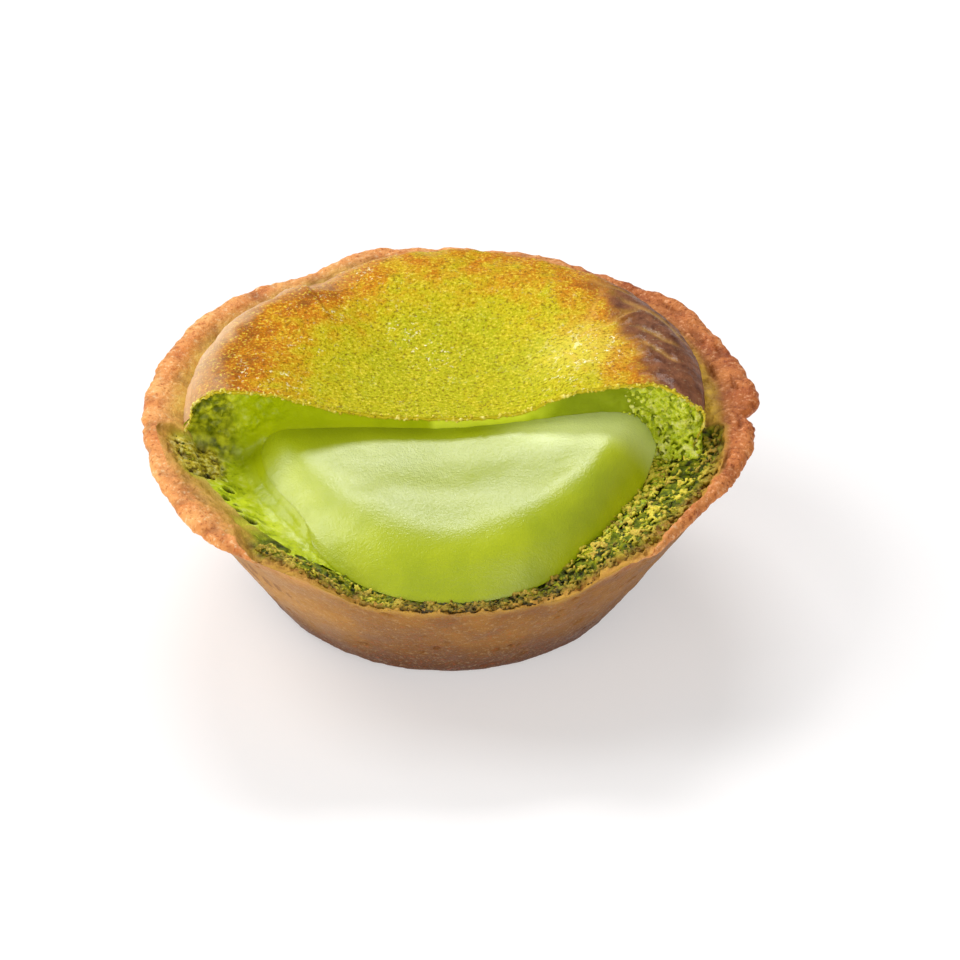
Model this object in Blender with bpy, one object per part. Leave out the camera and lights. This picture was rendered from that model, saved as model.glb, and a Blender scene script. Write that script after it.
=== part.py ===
"""A single-serving matcha cheese tart, eaten into from the front.

Three solids nest in one another: the baked shell, the set cheese filling with its puffed, baked top,
and the soft centre that bulges out where the front of the top and the front rim have been taken away.
Metres, +Z up, the tart stands on z = 0 with its axis on the Z axis, and the bitten side faces -Y.
An azimuth is measured from the front (-Y), positive towards +X.
"""

import math

import bmesh
import bpy
from mathutils import Vector, noise

MM = 0.001

# --- driving dimensions -------------------------------------------------------------------------

RIM_RADIUS = 35.0 * MM  # outermost edge of the rim
RIM_HEIGHT = 21.5 * MM  # level of that edge
RIM_CROWN = 0.8 * MM  # how far the rim's rounded top stands above its edge
RIM_ROUND = 1.2 * MM  # rounding of the edge, inwards
RIM_SHOULDER = 1.6 * MM  # from the edge in to the crown, and down to the wall
BASE_RADIUS = 21.2 * MM  # where the wall would meet the table
WALL_TOP_RADIUS = 34.1 * MM  # outer wall just under the rim
FOOT_ROUND = 1.3 * MM  # rounding between base and wall
WALL_THICKNESS = 4.6 * MM  # measured horizontally
WALL_UNEVENNESS = 1.0 * MM  # the wall is this much thicker on the right and thinner on the left
FLOOR_THICKNESS = 4.0 * MM
FLOOR_ROUND = 3.0 * MM  # rounding between the cavity's floor and wall
GAP = 0.3 * MM  # clearance between neighbouring solids

DOME_RADIUS = 29.3 * MM  # widest ring of the puffed top
DOME_FOOT_Z = 21.1 * MM
DOME_RING_Z = 26.6 * MM  # crest of the puffed ring
DOME_CENTRE_Z = 22.7 * MM  # sunken middle
SKIN_THICKNESS = 0.8 * MM  # baked skin that shows as a lip at the cut
SKIN_LIP = 0.7 * MM  # how far it stands out past the cut face

CUT_Y = -2.5 * MM  # plane of the cut face
CUT_CORNER = 1.6 * MM  # rounding where the cut face meets the bitten surface
FRONT_BREAK_Z = 16.3 * MM  # the wall's broken edge at the very front
SIDE_BREAK_Z = 20.9 * MM  # the broken face where it meets the standing rim
INNER_BREAK_FRONT_Z = 14.8 * MM  # the broken face where it dips under the soft centre
INNER_BREAK_SIDE_Z = 17.8 * MM
INNER_BREAK_RADIUS = 24.0 * MM
BREAK_STEEPNESS = 1.9  # rise of the bite's edge through the rim
RIM_FADE_ENDS = (26.0, 50.0)  # degrees from the front between which the rim grows out of the wall
LEFT_STEP_Z = 19.5 * MM  # on the left the broken edge climbs to the rim in two steps
LEFT_STEP_ENDS = ((19.0, 29.0), (36.0, 47.0))  # degrees between which each step rises
RIGHT_STEP_ENDS = (25.0, 40.0)
BITE_REACH = 37.0 * MM  # the eaten space runs out past the rim
BITE_CEILING = 45.0 * MM
CRUMB_DEPTH = 0.5 * MM  # relief of the broken crust
CRUMB_SIZE = 1.5 * MM

CORE_CENTRE_X = 1.0 * MM
CORE_SIDE_RADIUS = 23.3 * MM
CORE_FRONT_RADIUS = 29.3 * MM
CORE_BACK_RADIUS = 22.0 * MM
CORE_TOP_Z = 19.3 * MM  # the bulge, in front of the cut face
CORE_COVER = 3.3 * MM  # set filling and skin over the soft centre
CORE_COVER_LEFT = 1.7 * MM  # how much more there is on the left
CORE_EDGE_FRONT_Z = 16.5 * MM  # level of the bulge's widest line, at the front
CORE_EDGE_SIDE_Z = 17.4 * MM
CORE_DEPTH = 8.0 * MM
CORE_DISH = 0.45 * MM  # shallow hollow across the top of the bulge
CORE_DISH_Y = -10.0 * MM
CORE_DISH_WIDTH = 5.0 * MM

# (azimuth in degrees, half width in degrees, how far the rim's edge stands out there)
RIM_LOBES = (
    (94.0, 5.5, 0.9 * MM),
    (87.3, 1.6, -1.1 * MM),
    (75.0, 6.0, 0.3 * MM),
    (52.0, 12.0, -1.1 * MM),
    (126.0, 7.0, 0.5 * MM),
    (104.0, 3.5, 0.6 * MM),
    (146.0, 10.0, -0.9 * MM),
    (-152.0, 8.0, -1.2 * MM),
    (-52.0, 12.0, 0.8 * MM),
)
# (azimuth in degrees, half width in degrees, how far the rim's top is lifted there)
RIM_LIFTS = (
    (180.0, 22.0, -0.5 * MM),
    (-163.0, 7.0, 0.6 * MM),
    (-142.0, 12.0, -0.7 * MM),
    (94.0, 9.0, 0.4 * MM),
    (44.0, 11.0, -0.7 * MM),
    (-37.0, 12.0, -0.9 * MM),
)
# (azimuth in degrees, half width in degrees, how far the puffed ring stands out there)
DOME_PULLS = ((-140.0, 16.0, -1.9 * MM),)
# (azimuth in degrees, half width in degrees, how far the ring's crest is lifted there)
DOME_SWELLS = (
    (85.0, 40.0, 1.0 * MM),
    (-147.0, 12.0, -1.5 * MM),
)
PUFF_DEPTH = 0.4 * MM  # uneven puffing of the ring
# Bubbles in the set filling on the left: (azimuth, distance from the axis, radius)
BUBBLES = (
    (-79.0, 26.0 * MM, 0.9 * MM),
    (-66.0, 26.4 * MM, 1.1 * MM),
    (-59.0, 26.0 * MM, 0.8 * MM),
    (-51.0, 26.6 * MM, 1.2 * MM),
    (-46.0, 28.0 * MM, 0.9 * MM),
    (-42.0, 26.4 * MM, 0.8 * MM),
)

SHELL_SEGMENTS = 84  # around the axis
FILLING_SEGMENTS = 64
BITE_SPACING = 1.15 * MM  # between the points of the bitten surface
SLIVER = 0.01 * MM  # edges shorter than this are closed up


# --- small helpers ------------------------------------------------------------------------------


def mix(a, b, t):
    return a + (b - a) * t


def smooth(low, high, value):
    """0 below low, 1 above high, with a smooth turn between them."""
    t = min(1.0, max(0.0, (value - low) / (high - low)))
    return t * t * (3 - 2 * t)


def bumps(table, azimuth):
    """Sum of the smooth bumps that a table of (azimuth, half width, height) states."""
    total = 0.0
    for centre, width, height in table:
        away = (math.degrees(azimuth) - centre + 180.0) % 360.0 - 180.0
        total += height * math.exp(-((away / width) ** 2))
    return total


def polar(radius, azimuth, z):
    return Vector((radius * math.sin(azimuth), -radius * math.cos(azimuth), z))


def grain(point, size):
    """Smooth noise from -1 to 1 that varies over about this size."""
    return noise.noise(Vector(point) / size)


# --- the shell's section ------------------------------------------------------------------------


def wall_radius(z):
    """Outer radius of the slanting wall."""
    return BASE_RADIUS + (WALL_TOP_RADIUS - BASE_RADIUS) * z / RIM_HEIGHT


def cavity_radius(z, azimuth):
    """Radius of the shell's inner wall."""
    radius = wall_radius(z) - WALL_THICKNESS - WALL_UNEVENNESS * math.sin(azimuth)
    above_floor = z - FLOOR_THICKNESS
    if above_floor < FLOOR_ROUND:
        lean = 1.0 - above_floor / FLOOR_ROUND
        radius -= FLOOR_ROUND * (1.0 - math.sqrt(max(0.0, 1.0 - lean * lean)))
    return radius


def rim_radius(azimuth):
    ripple = 0.25 * MM * grain(polar(7.0, azimuth, 0.0), 1.0)
    full = RIM_RADIUS + bumps(RIM_LOBES, azimuth) + ripple
    from_front = abs((math.degrees(azimuth) + 180.0) % 360.0 - 180.0)
    return mix(WALL_TOP_RADIUS + 0.1 * MM, full, smooth(*RIM_FADE_ENDS, from_front))


def rim_level(azimuth):
    ripple = 0.3 * MM * grain(polar(4.0, azimuth, 9.0), 1.0)
    return RIM_HEIGHT + bumps(RIM_LIFTS, azimuth) + ripple


def shell_section(azimuth):
    """(radius, height) points from the middle of the base, out, up, over the rim, down to the cavity's floor."""
    edge_radius = rim_radius(azimuth)
    edge_z = rim_level(azimuth)
    inner_radius = cavity_radius(RIM_HEIGHT, azimuth)
    points = [(BASE_RADIUS * share, 0.0) for share in (0.4, 0.8)]
    for turn in (0.0, 0.5, 1.0):  # rounded foot
        angle = turn * math.pi / 2
        z = FOOT_ROUND * (1.0 - math.cos(angle))
        points.append((wall_radius(z) - FOOT_ROUND * (1.0 - math.sin(angle)), z))
    for share in (0.25, 0.4, 0.55, 0.7, 0.85):  # slanting wall
        z = edge_z * share
        points.append((wall_radius(z), z))
    under_lip = edge_z - RIM_SHOULDER
    points.append((wall_radius(under_lip), under_lip))
    for turn in (0.12, 0.34, 0.55, 0.78):  # rounded edge of the rim
        angle = (turn - 0.5) * math.pi
        points.append(
            (
                edge_radius - RIM_ROUND * (1.0 - math.cos(angle)),
                edge_z + RIM_CROWN * math.sin(angle),
            )
        )
    crown_z = edge_z + RIM_CROWN
    for share in (0.0, 0.2, 0.4, 0.6, 0.8, 1.0):  # top of the rim, falling towards the filling
        radius = mix(edge_radius - RIM_SHOULDER, inner_radius, share)
        z = mix(crown_z, DOME_FOOT_Z - 0.1 * MM, share**1.6)
        points.append((radius, z))
    for share in (0.8, 0.6, 0.42, 0.26, 0.12, 0.05, 0.0):  # cavity's wall and its rounded floor
        z = mix(FLOOR_THICKNESS, DOME_FOOT_Z, share)
        points.append((cavity_radius(z, azimuth), z))
    points.append((cavity_radius(FLOOR_THICKNESS, azimuth) * 0.5, FLOOR_THICKNESS))
    return points


# --- the filling's section ----------------------------------------------------------------------


def dome_radius(azimuth):
    """Widest ring of the puffed top: it is pulled in at the back left."""
    return DOME_RADIUS + bumps(DOME_PULLS, azimuth)


def ring_height(azimuth):
    """Crest of the puffed ring: higher on the right, with a saddle at the back left."""
    puffs = PUFF_DEPTH * grain(polar(2.2, azimuth, 5.0), 1.0)
    return DOME_RING_Z + bumps(DOME_SWELLS, azimuth) + puffs


# (share of the dome's radius, share of the rise from the sunken middle to the ring's crest)
DOME_TOP = (
    (0.97, 0.72),
    (0.92, 0.93),
    (0.85, 1.0),
    (0.76, 0.98),
    (0.66, 0.84),
    (0.55, 0.58),
    (0.43, 0.33),
    (0.3, 0.14),
    (0.15, 0.03),
)


def dome_height(radius, azimuth):
    """Height of the baked top at a distance from the axis."""
    share = radius / dome_radius(azimuth)
    stations = [(1.0, 0.3), *DOME_TOP, (0.0, 0.0)]
    for (outer, high), (inner, low) in zip(stations, stations[1:]):
        if share >= inner:
            rise = mix(low, high, min(1.0, (share - inner) / (outer - inner)))
            break
    return mix(DOME_CENTRE_Z, ring_height(azimuth), rise)


def filling_section(azimuth):
    """(radius, height) points from the middle of the cavity's floor, out, up and over the baked top."""
    floor_z = FLOOR_THICKNESS + GAP
    points = [(cavity_radius(FLOOR_THICKNESS, azimuth) * 0.5, floor_z)]
    for share in (0.0, 0.06, 0.14, 0.28, 0.45, 0.62, 0.8, 1.0):
        z = mix(floor_z, DOME_FOOT_Z, share)
        points.append((cavity_radius(z - GAP, azimuth) - 1.2 * GAP, z))
    widest = dome_radius(azimuth)
    crest = ring_height(azimuth)
    points.append((widest - 0.25 * MM, mix(DOME_FOOT_Z, crest, 0.25)))
    points.append((widest, mix(DOME_FOOT_Z, crest, 0.5)))
    for share, rise in DOME_TOP:
        points.append((widest * share, mix(DOME_CENTRE_Z, crest, rise)))
    return points


# --- the soft centre ----------------------------------------------------------------------------


def core_outline(azimuth):
    """Distance of the soft centre's widest line from its own axis."""
    across = CORE_SIDE_RADIUS
    along = CORE_FRONT_RADIUS if math.cos(azimuth) > 0 else CORE_BACK_RADIUS
    return 1.0 / math.hypot(math.sin(azimuth) / across, math.cos(azimuth) / along)


def core_edge_z(azimuth):
    return mix(CORE_EDGE_SIDE_Z, CORE_EDGE_FRONT_Z, smooth(0.2, 1.0, math.cos(azimuth)))


def core_crest(x, y):
    """Height that the soft centre would reach here if its edge weren't rounded."""
    azimuth = math.atan2(x, -y)
    cover = CORE_COVER + CORE_COVER_LEFT * smooth(2.0 * MM, 16.0 * MM, -x)
    under_skin = dome_height(math.hypot(x, y), azimuth) - cover
    dish = CORE_DISH * math.exp(-(((y - CORE_DISH_Y) / CORE_DISH_WIDTH) ** 2))
    return mix(CORE_TOP_Z - dish, under_skin, smooth(-11.0 * MM, -1.0 * MM, y))


def core_top(share, azimuth):
    """Height of the soft centre at a share of its outline."""
    point = polar(core_outline(azimuth) * share, azimuth, 0.0)
    crest = core_crest(point.x + CORE_CENTRE_X, point.y)
    edge = core_edge_z(azimuth)
    roundness = mix(5.0, 3.0, smooth(-0.1, 0.6, math.cos(azimuth)))
    return edge + (crest - edge) * math.sqrt(max(0.0, 1.0 - share**roundness))


def core_underside(share, azimuth):
    return core_edge_z(azimuth) - CORE_DEPTH * max(0.0, 1.0 - share * share) ** 0.8


def core_section(azimuth):
    """(radius, height) points from low in the middle, out to the edge and back over the top."""
    outline = core_outline(azimuth)
    points = []
    for share in (0.35, 0.6, 0.8, 0.92):
        points.append((outline * share, core_underside(share, azimuth)))
    points.append((outline, core_edge_z(azimuth)))
    for share in (0.985, 0.95, 0.88, 0.78, 0.66, 0.54, 0.42, 0.28, 0.14):
        points.append((outline * share, core_top(share, azimuth)))
    return points


# --- the bite -----------------------------------------------------------------------------------


def bite_radius(azimuth):
    """Outline of the bite in plan: the rim stands outside it."""
    degrees = abs(math.degrees(azimuth))
    towards_cut = smooth(60.0, 88.0, degrees)
    if azimuth < 0:
        standing = mix(31.0 * MM, 32.3 * MM, towards_cut)
    else:
        standing = mix(32.5 * MM, 31.0 * MM, towards_cut)
    return mix(36.2 * MM, standing, smooth(30.0, 52.0, degrees))


def broken_edge_z(azimuth):
    """Level of the broken face at the wall's outside."""
    degrees = abs(math.degrees(azimuth))
    if azimuth > 0:
        return mix(FRONT_BREAK_Z, SIDE_BREAK_Z, smooth(*RIGHT_STEP_ENDS, degrees))
    low, high = LEFT_STEP_ENDS
    step = mix(FRONT_BREAK_Z, LEFT_STEP_Z, smooth(*low, degrees))
    return mix(step, SIDE_BREAK_Z, smooth(*high, degrees))


def bite_height(x, y):
    """Height of the bitten surface of crust and filling."""
    radius = math.hypot(x, y)
    azimuth = math.atan2(x, -y)
    degrees = abs(math.degrees(azimuth))
    outer = broken_edge_z(azimuth)
    inner = mix(INNER_BREAK_FRONT_Z, INNER_BREAK_SIDE_Z, smooth(10.0, 55.0, degrees))
    reach = min(bite_radius(azimuth), 31.5 * MM) - INNER_BREAK_RADIUS
    share = min(1.0, max(0.0, (radius - INNER_BREAK_RADIUS) / reach))
    height = mix(inner, outer, share**1.2)
    crumbs = grain((x, y, 0.0), CRUMB_SIZE) + 0.5 * grain((x, y, 1.0), CRUMB_SIZE * 0.55)
    height += CRUMB_DEPTH * crumbs
    return height + BREAK_STEEPNESS * max(0.0, radius - bite_radius(azimuth))


def face_y(x, z):
    """Where the cut face stands, with the torn relief of the set filling."""
    tear = grain((x, 7.0 * MM, z), 2.4 * MM) + 0.6 * grain((x, 9.0 * MM, z), 1.1 * MM)
    towards_wall = smooth(14.0 * MM, 26.0 * MM, abs(x))
    return CUT_Y + tear * mix(0.15 * MM, 0.45 * MM, towards_wall)


def bite_column(x):
    """(y, z) points of the bite's surface at one x, from the front, back to the cut face and up."""
    front, corner = -BITE_REACH, CUT_Y - CUT_CORNER
    steps = round((corner - front) / BITE_SPACING)
    points = []
    for step in range(steps + 1):
        y = mix(front, corner, step / steps)
        points.append((y, min(bite_height(x, y), BITE_CEILING - 5.0 * MM)))
    low = points[-1][1]
    for turn in (0.33, 0.67, 1.0):
        angle = turn * math.pi / 2
        points.append(
            (corner + CUT_CORNER * math.sin(angle), low + CUT_CORNER * (1.0 - math.cos(angle)))
        )
    top = dome_height(math.hypot(x, CUT_Y), math.atan2(x, -CUT_Y))
    start = points[-1][1]
    lip_z = max(top - SKIN_THICKNESS, start + 0.6 * MM)
    for share in (0.14, 0.28, 0.42, 0.57, 0.71, 0.85, 1.0):
        z = mix(start, lip_z, share)
        points.append((face_y(x, z), z))
    ragged = 0.3 * MM * grain((x, 3.0 * MM, 0.0), 1.7 * MM)
    points.append((CUT_Y - SKIN_LIP + ragged, lip_z + 0.15 * MM))
    points.append((CUT_Y - SKIN_LIP + ragged, max(top, lip_z) + 1.2 * MM))
    return points


# --- mesh building ------------------------------------------------------------------------------


def new_object(name, mesh_data):
    mesh_data.name = name
    body = bpy.data.objects.new(name, mesh_data)
    bpy.context.scene.collection.objects.link(body)
    return body


def turned_solid(name, section, segments, centre=(0.0, 0.0)):
    """A closed solid whose section may change with the azimuth, closed on its axis at both ends."""
    builder = bmesh.new()
    rings = []
    for index in range(segments):
        azimuth = 2.0 * math.pi * index / segments
        ring = []
        for radius, z in section(azimuth):
            point = polar(radius, azimuth, z)
            ring.append(builder.verts.new((point.x + centre[0], point.y + centre[1], point.z)))
        rings.append(ring)
    first_z = section(0.0)[0][1]
    last_z = sum(ring[-1].co.z for ring in rings) / segments
    low = builder.verts.new((centre[0], centre[1], first_z))
    high = builder.verts.new((centre[0], centre[1], last_z))
    for ring, following in zip(rings, rings[1:] + rings[:1]):
        builder.faces.new((low, following[0], ring[0]))
        builder.faces.new((high, ring[-1], following[-1]))
        for station in range(len(ring) - 1):
            builder.faces.new(
                (ring[station], following[station], following[station + 1], ring[station + 1])
            )
    bmesh.ops.recalc_face_normals(builder, faces=builder.faces)
    mesh_data = bpy.data.meshes.new(name)
    builder.to_mesh(mesh_data)
    builder.free()
    return new_object(name, mesh_data)


def bite_cutter():
    """The space that was eaten: a loft of columns, closed above and at both ends."""
    steps = round(2 * BITE_REACH / BITE_SPACING)
    builder = bmesh.new()
    columns = []
    for step in range(steps + 1):
        x = mix(-BITE_REACH, BITE_REACH, step / steps)
        outline = bite_column(x)
        outline.append((CUT_Y - SKIN_LIP, BITE_CEILING))
        outline.append((-BITE_REACH, BITE_CEILING))
        columns.append([builder.verts.new((x, y, z)) for y, z in outline])
    for column, following in zip(columns, columns[1:]):
        count = len(column)
        for index in range(count):
            after = (index + 1) % count
            builder.faces.new((column[index], column[after], following[after], following[index]))
    builder.faces.new(columns[0])
    builder.faces.new(columns[-1])
    bmesh.ops.triangulate(builder, faces=builder.faces)
    bmesh.ops.recalc_face_normals(builder, faces=builder.faces)
    mesh_data = bpy.data.meshes.new("bite")
    builder.to_mesh(mesh_data)
    builder.free()
    return new_object("bite", mesh_data)


def bubble_cutters():
    """Round pits along the left of the bitten filling."""
    builder = bmesh.new()
    for degrees, distance, radius in BUBBLES:
        azimuth = math.radians(degrees)
        point = polar(distance, azimuth, 0.0)
        point.z = bite_height(point.x, point.y) + 0.25 * radius
        made = bmesh.ops.create_icosphere(builder, subdivisions=2, radius=radius)
        bmesh.ops.translate(builder, verts=made["verts"], vec=point)
    mesh_data = bpy.data.meshes.new("bubbles")
    builder.to_mesh(mesh_data)
    builder.free()
    return new_object("bubbles", mesh_data)


def grown_copy(body, distance, name):
    """A copy whose surface stands this far outside the original."""
    mesh_data = body.data.copy()
    normals = [vertex.normal.copy() for vertex in mesh_data.vertices]
    for vertex, normal in zip(mesh_data.vertices, normals):
        vertex.co += normal * distance
    return new_object(name, mesh_data)


def cut(body, cutter):
    """Takes the cutter out of the body and keeps the result."""
    modifier = body.modifiers.new("cut_" + cutter.name, "BOOLEAN")
    modifier.operation = "DIFFERENCE"
    modifier.object = cutter
    graph = bpy.context.evaluated_depsgraph_get()
    mesh_data = bpy.data.meshes.new_from_object(body.evaluated_get(graph))
    mesh_data.name = body.name
    body.modifiers.clear()
    body.data = mesh_data


def connected_pieces(builder):
    """Groups of vertices that hang together, the largest last."""
    unseen = set(builder.verts)
    pieces = []
    while unseen:
        queue = [unseen.pop()]
        piece = []
        while queue:
            vertex = queue.pop()
            piece.append(vertex)
            for edge in vertex.link_edges:
                other = edge.other_vert(vertex)
                if other in unseen:
                    unseen.discard(other)
                    queue.append(other)
        pieces.append(piece)
    return sorted(pieces, key=len)


def tidy_after_cuts(body):
    """Closes up slivers and drops the scraps that a cut leaves loose."""
    builder = bmesh.new()
    builder.from_mesh(body.data)
    bmesh.ops.triangulate(builder, faces=builder.faces)
    bmesh.ops.dissolve_degenerate(builder, dist=SLIVER, edges=builder.edges)
    scraps = [vertex for piece in connected_pieces(builder)[:-1] for vertex in piece]
    bmesh.ops.delete(builder, geom=scraps, context="VERTS")
    bmesh.ops.triangulate(builder, faces=builder.faces)
    builder.to_mesh(body.data)
    builder.free()


# --- materials ----------------------------------------------------------------------------------


def give_material(body, name, colour, roughness):
    material = bpy.data.materials.new(name)
    material.use_nodes = True
    shader = material.node_tree.nodes["Principled BSDF"]
    shader.inputs["Base Color"].default_value = (*colour, 1.0)
    shader.inputs["Roughness"].default_value = roughness
    shader.inputs["Metallic"].default_value = 0.0
    body.data.materials.clear()
    body.data.materials.append(material)
    body.data.shade_smooth()
    body.data.set_sharp_from_angle(angle=math.radians(40.0))


# --- the tart -----------------------------------------------------------------------------------


def main():
    for existing in list(bpy.data.objects):
        bpy.data.objects.remove(existing)

    shell = turned_solid("tart_shell", shell_section, SHELL_SEGMENTS)
    filling = turned_solid("set_filling", filling_section, FILLING_SEGMENTS)
    core = turned_solid("soft_centre", core_section, FILLING_SEGMENTS, (CORE_CENTRE_X, 0.0))

    bite = bite_cutter()
    core_space = grown_copy(core, GAP * 1.2, "core_space")
    bubbles = bubble_cutters()
    for body in (shell, filling):
        cut(body, bite)
        cut(body, core_space)
    cut(filling, bubbles)
    for cutter in (bite, core_space, bubbles):
        bpy.data.objects.remove(cutter)
    for body in (shell, filling):
        tidy_after_cuts(body)

    give_material(shell, "baked_crust", (0.50, 0.24, 0.09), 0.8)
    give_material(filling, "set_matcha_cheese", (0.42, 0.42, 0.03), 0.4)
    give_material(core, "soft_matcha_cheese", (0.36, 0.55, 0.06), 0.3)


main()
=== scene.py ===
"""The finish of a single-serving matcha cheese tart, eaten into from the front.

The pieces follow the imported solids: a sandy baked crust, its torn crumb, the set cheese with its bubbles,
the browned skin over it, and the soft cheese that bulges out of the bite. Lengths are metres unless a table
says otherwise, an azimuth is measured from the front (-Y), positive towards +X, and noise comes from seeded
tables.
"""

import itertools
import math

import bmesh
import bpy
import numpy as np
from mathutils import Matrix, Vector


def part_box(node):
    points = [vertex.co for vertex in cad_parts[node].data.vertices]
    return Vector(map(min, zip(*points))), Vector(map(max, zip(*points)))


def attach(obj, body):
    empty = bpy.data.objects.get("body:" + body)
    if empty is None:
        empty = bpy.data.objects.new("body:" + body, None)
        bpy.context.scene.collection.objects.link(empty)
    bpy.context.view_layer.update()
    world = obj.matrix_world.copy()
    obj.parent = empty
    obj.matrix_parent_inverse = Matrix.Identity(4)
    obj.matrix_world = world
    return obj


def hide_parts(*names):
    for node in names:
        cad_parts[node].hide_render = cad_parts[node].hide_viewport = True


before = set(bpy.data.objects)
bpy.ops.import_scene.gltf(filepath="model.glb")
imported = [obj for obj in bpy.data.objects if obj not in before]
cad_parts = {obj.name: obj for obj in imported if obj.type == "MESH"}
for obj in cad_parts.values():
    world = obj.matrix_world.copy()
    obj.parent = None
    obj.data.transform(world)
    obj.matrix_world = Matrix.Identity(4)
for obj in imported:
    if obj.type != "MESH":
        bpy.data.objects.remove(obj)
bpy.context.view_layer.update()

MM = 0.001

# --- dimensions, as in the solids -----------------------------------------------------------------

RIM_RADIUS = 35.0 * MM
RIM_HEIGHT = 21.5 * MM
RIM_CROWN = 0.8 * MM
RIM_ROUND = 1.2 * MM
RIM_SHOULDER = 1.6 * MM
BASE_RADIUS = 21.2 * MM
WALL_TOP_RADIUS = 34.1 * MM
FOOT_ROUND = 1.3 * MM
WALL_THICKNESS = 4.6 * MM
WALL_UNEVENNESS = 1.0 * MM
INNER_WALL_DEPTH = 2.4 * MM  # how far the crust's inner wall is modelled below its edge

DOME_RADIUS = 29.3 * MM
DOME_FOOT_Z = 21.1 * MM
DOME_RING_Z = 26.6 * MM
DOME_CENTRE_Z = 22.7 * MM
PUFF_DEPTH = 0.4 * MM
SKIN_THICKNESS = 0.55 * MM
SKIN_LIP = 0.45 * MM

CUT_Y = -2.5 * MM
CUT_CORNER = 1.6 * MM
FRONT_BREAK_Z = 16.3 * MM
SIDE_BREAK_Z = 20.9 * MM
INNER_BREAK_FRONT_Z = 14.8 * MM
INNER_BREAK_SIDE_Z = 17.8 * MM
INNER_BREAK_RADIUS = 24.0 * MM
BITE_RADIUS_FRONT = 36.2 * MM
BITE_RADII_LEFT = (31.0 * MM, 32.3 * MM)  # nearer the front, and beside the cut face
BITE_RADII_RIGHT = (32.5 * MM, 31.0 * MM)
BREAK_STEEPNESS = 1.9
BREAK_STEEPNESS_LEFT = 0.8
RIM_FADE_ENDS = (26.0, 50.0)
LEFT_STEP_Z = 19.5 * MM
LEFT_STEP_ENDS = ((17.0, 31.0), (31.0, 50.0))
RIGHT_STEP_ENDS = (25.0, 40.0)

# The soft cheese. Its top is higher and flatter on its right than the solid's.
CORE_CENTRE_X = 1.0 * MM
CORE_SIDE_RADIUS = 23.3 * MM
CORE_FRONT_RADIUS = 29.3 * MM
CORE_BACK_RADIUS = 22.0 * MM
CORE_EDGE_FRONT_Z = 15.5 * MM
CORE_EDGE_SIDE_Z = 17.4 * MM
CORE_EDGE_RIGHT_RISE = 2.0 * MM
CORE_DEPTH = 8.0 * MM
CORE_BLEND = 3.2 * MM  # rounding where the soft cheese runs into the set cheese on its left

# Height of the soft cheese along the cut face, in millimetres: (x, z)
CORE_CREST = (
    (-24.0, 20.1),
    (-20.0, 20.7),
    (-15.0, 21.0),
    (-8.0, 21.1),
    (0.0, 20.95),
    (7.0, 21.7),
    (11.0, 22.3),
    (15.0, 22.95),
    (18.0, 23.25),
    (21.0, 23.0),
    (24.5, 22.0),
)
# How far it falls in front of the cut face, in millimetres: (distance, fall)
CORE_FALL = (
    (0.0, 0.0),
    (1.5, 0.07),
    (5.0, 0.27),
    (7.0, 0.36),
    (10.0, 0.42),
    (12.5, 0.47),
    (14.5, 0.56),
    (17.0, 0.76),
    (19.0, 0.98),
    (20.5, 1.25),
    (22.0, 1.7),
    (24.0, 2.7),
    (27.0, 4.6),
)
# A slight swell across its middle: x, half width, distance in front of the cut face, half width, height
CORE_SWELL = (1.0 * MM, 8.0 * MM, 12.0 * MM, 3.5 * MM, 0.32 * MM)
# Where its sides turn down: (azimuth in degrees, share of the way out)
CORE_SHOULDER = (
    (-180.0, 0.86),
    (-95.0, 0.86),
    (-75.0, 0.79),
    (-60.0, 0.71),
    (-45.0, 0.65),
    (-25.0, 0.66),
    (0.0, 0.7),
    (22.0, 0.69),
    (42.0, 0.71),
    (58.0, 0.75),
    (80.0, 0.82),
    (180.0, 0.86),
)
CORE_ROLL = 2.4  # how suddenly they do
CORE_LIP = 0.12  # share of the side that is left for the round lip at its edge
# Where the soft cheese stops short of an even oval: (azimuth, half width in degrees, how far)
CORE_INSETS = (
    (-50.0, 13.0, 1.1 * MM),
    (0.0, 36.0, 1.0 * MM),
    (42.0, 28.0, 1.5 * MM),
)

# (azimuth in degrees, half width in degrees, how far the rim's edge stands out there)
RIM_LOBES = (
    (94.0, 5.5, 0.9 * MM),
    (87.3, 1.6, -1.1 * MM),
    (75.0, 6.0, 0.3 * MM),
    (52.0, 12.0, -1.1 * MM),
    (126.0, 7.0, 0.5 * MM),
    (104.0, 3.5, 0.6 * MM),
    (146.0, 10.0, -0.9 * MM),
    (-152.0, 8.0, -1.2 * MM),
    (-52.0, 12.0, 0.8 * MM),
)
# (azimuth in degrees, half width in degrees, how far the rim's top is lifted there)
RIM_LIFTS = (
    (180.0, 22.0, -0.5 * MM),
    (-163.0, 7.0, 0.6 * MM),
    (-142.0, 12.0, -0.7 * MM),
    (94.0, 9.0, 0.4 * MM),
    (44.0, 11.0, -0.7 * MM),
    (-37.0, 12.0, -0.9 * MM),
)
DOME_PULLS = ((-140.0, 16.0, -1.9 * MM),)
DOME_EARLY_RISE = (84.0, 42.0, 0.13)  # azimuth, half width, share of the radius that the top rises earlier
CUT_SWEEP = 2.2 * MM  # how far the right end of the cut edge comes forward
DOME_SWELLS = (
    (85.0, 40.0, 1.0 * MM),
    (-147.0, 12.0, -1.5 * MM),
)
# Top of the dome: (share of its radius, share of the rise from its sunken middle to its crest)
DOME_TOP = (
    (0.0, 0.0),
    (0.15, 0.03),
    (0.3, 0.14),
    (0.43, 0.33),
    (0.55, 0.58),
    (0.66, 0.84),
    (0.76, 0.98),
    (0.85, 1.0),
    (0.92, 0.93),
    (0.97, 0.72),
    (1.0, 0.45),
)
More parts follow.
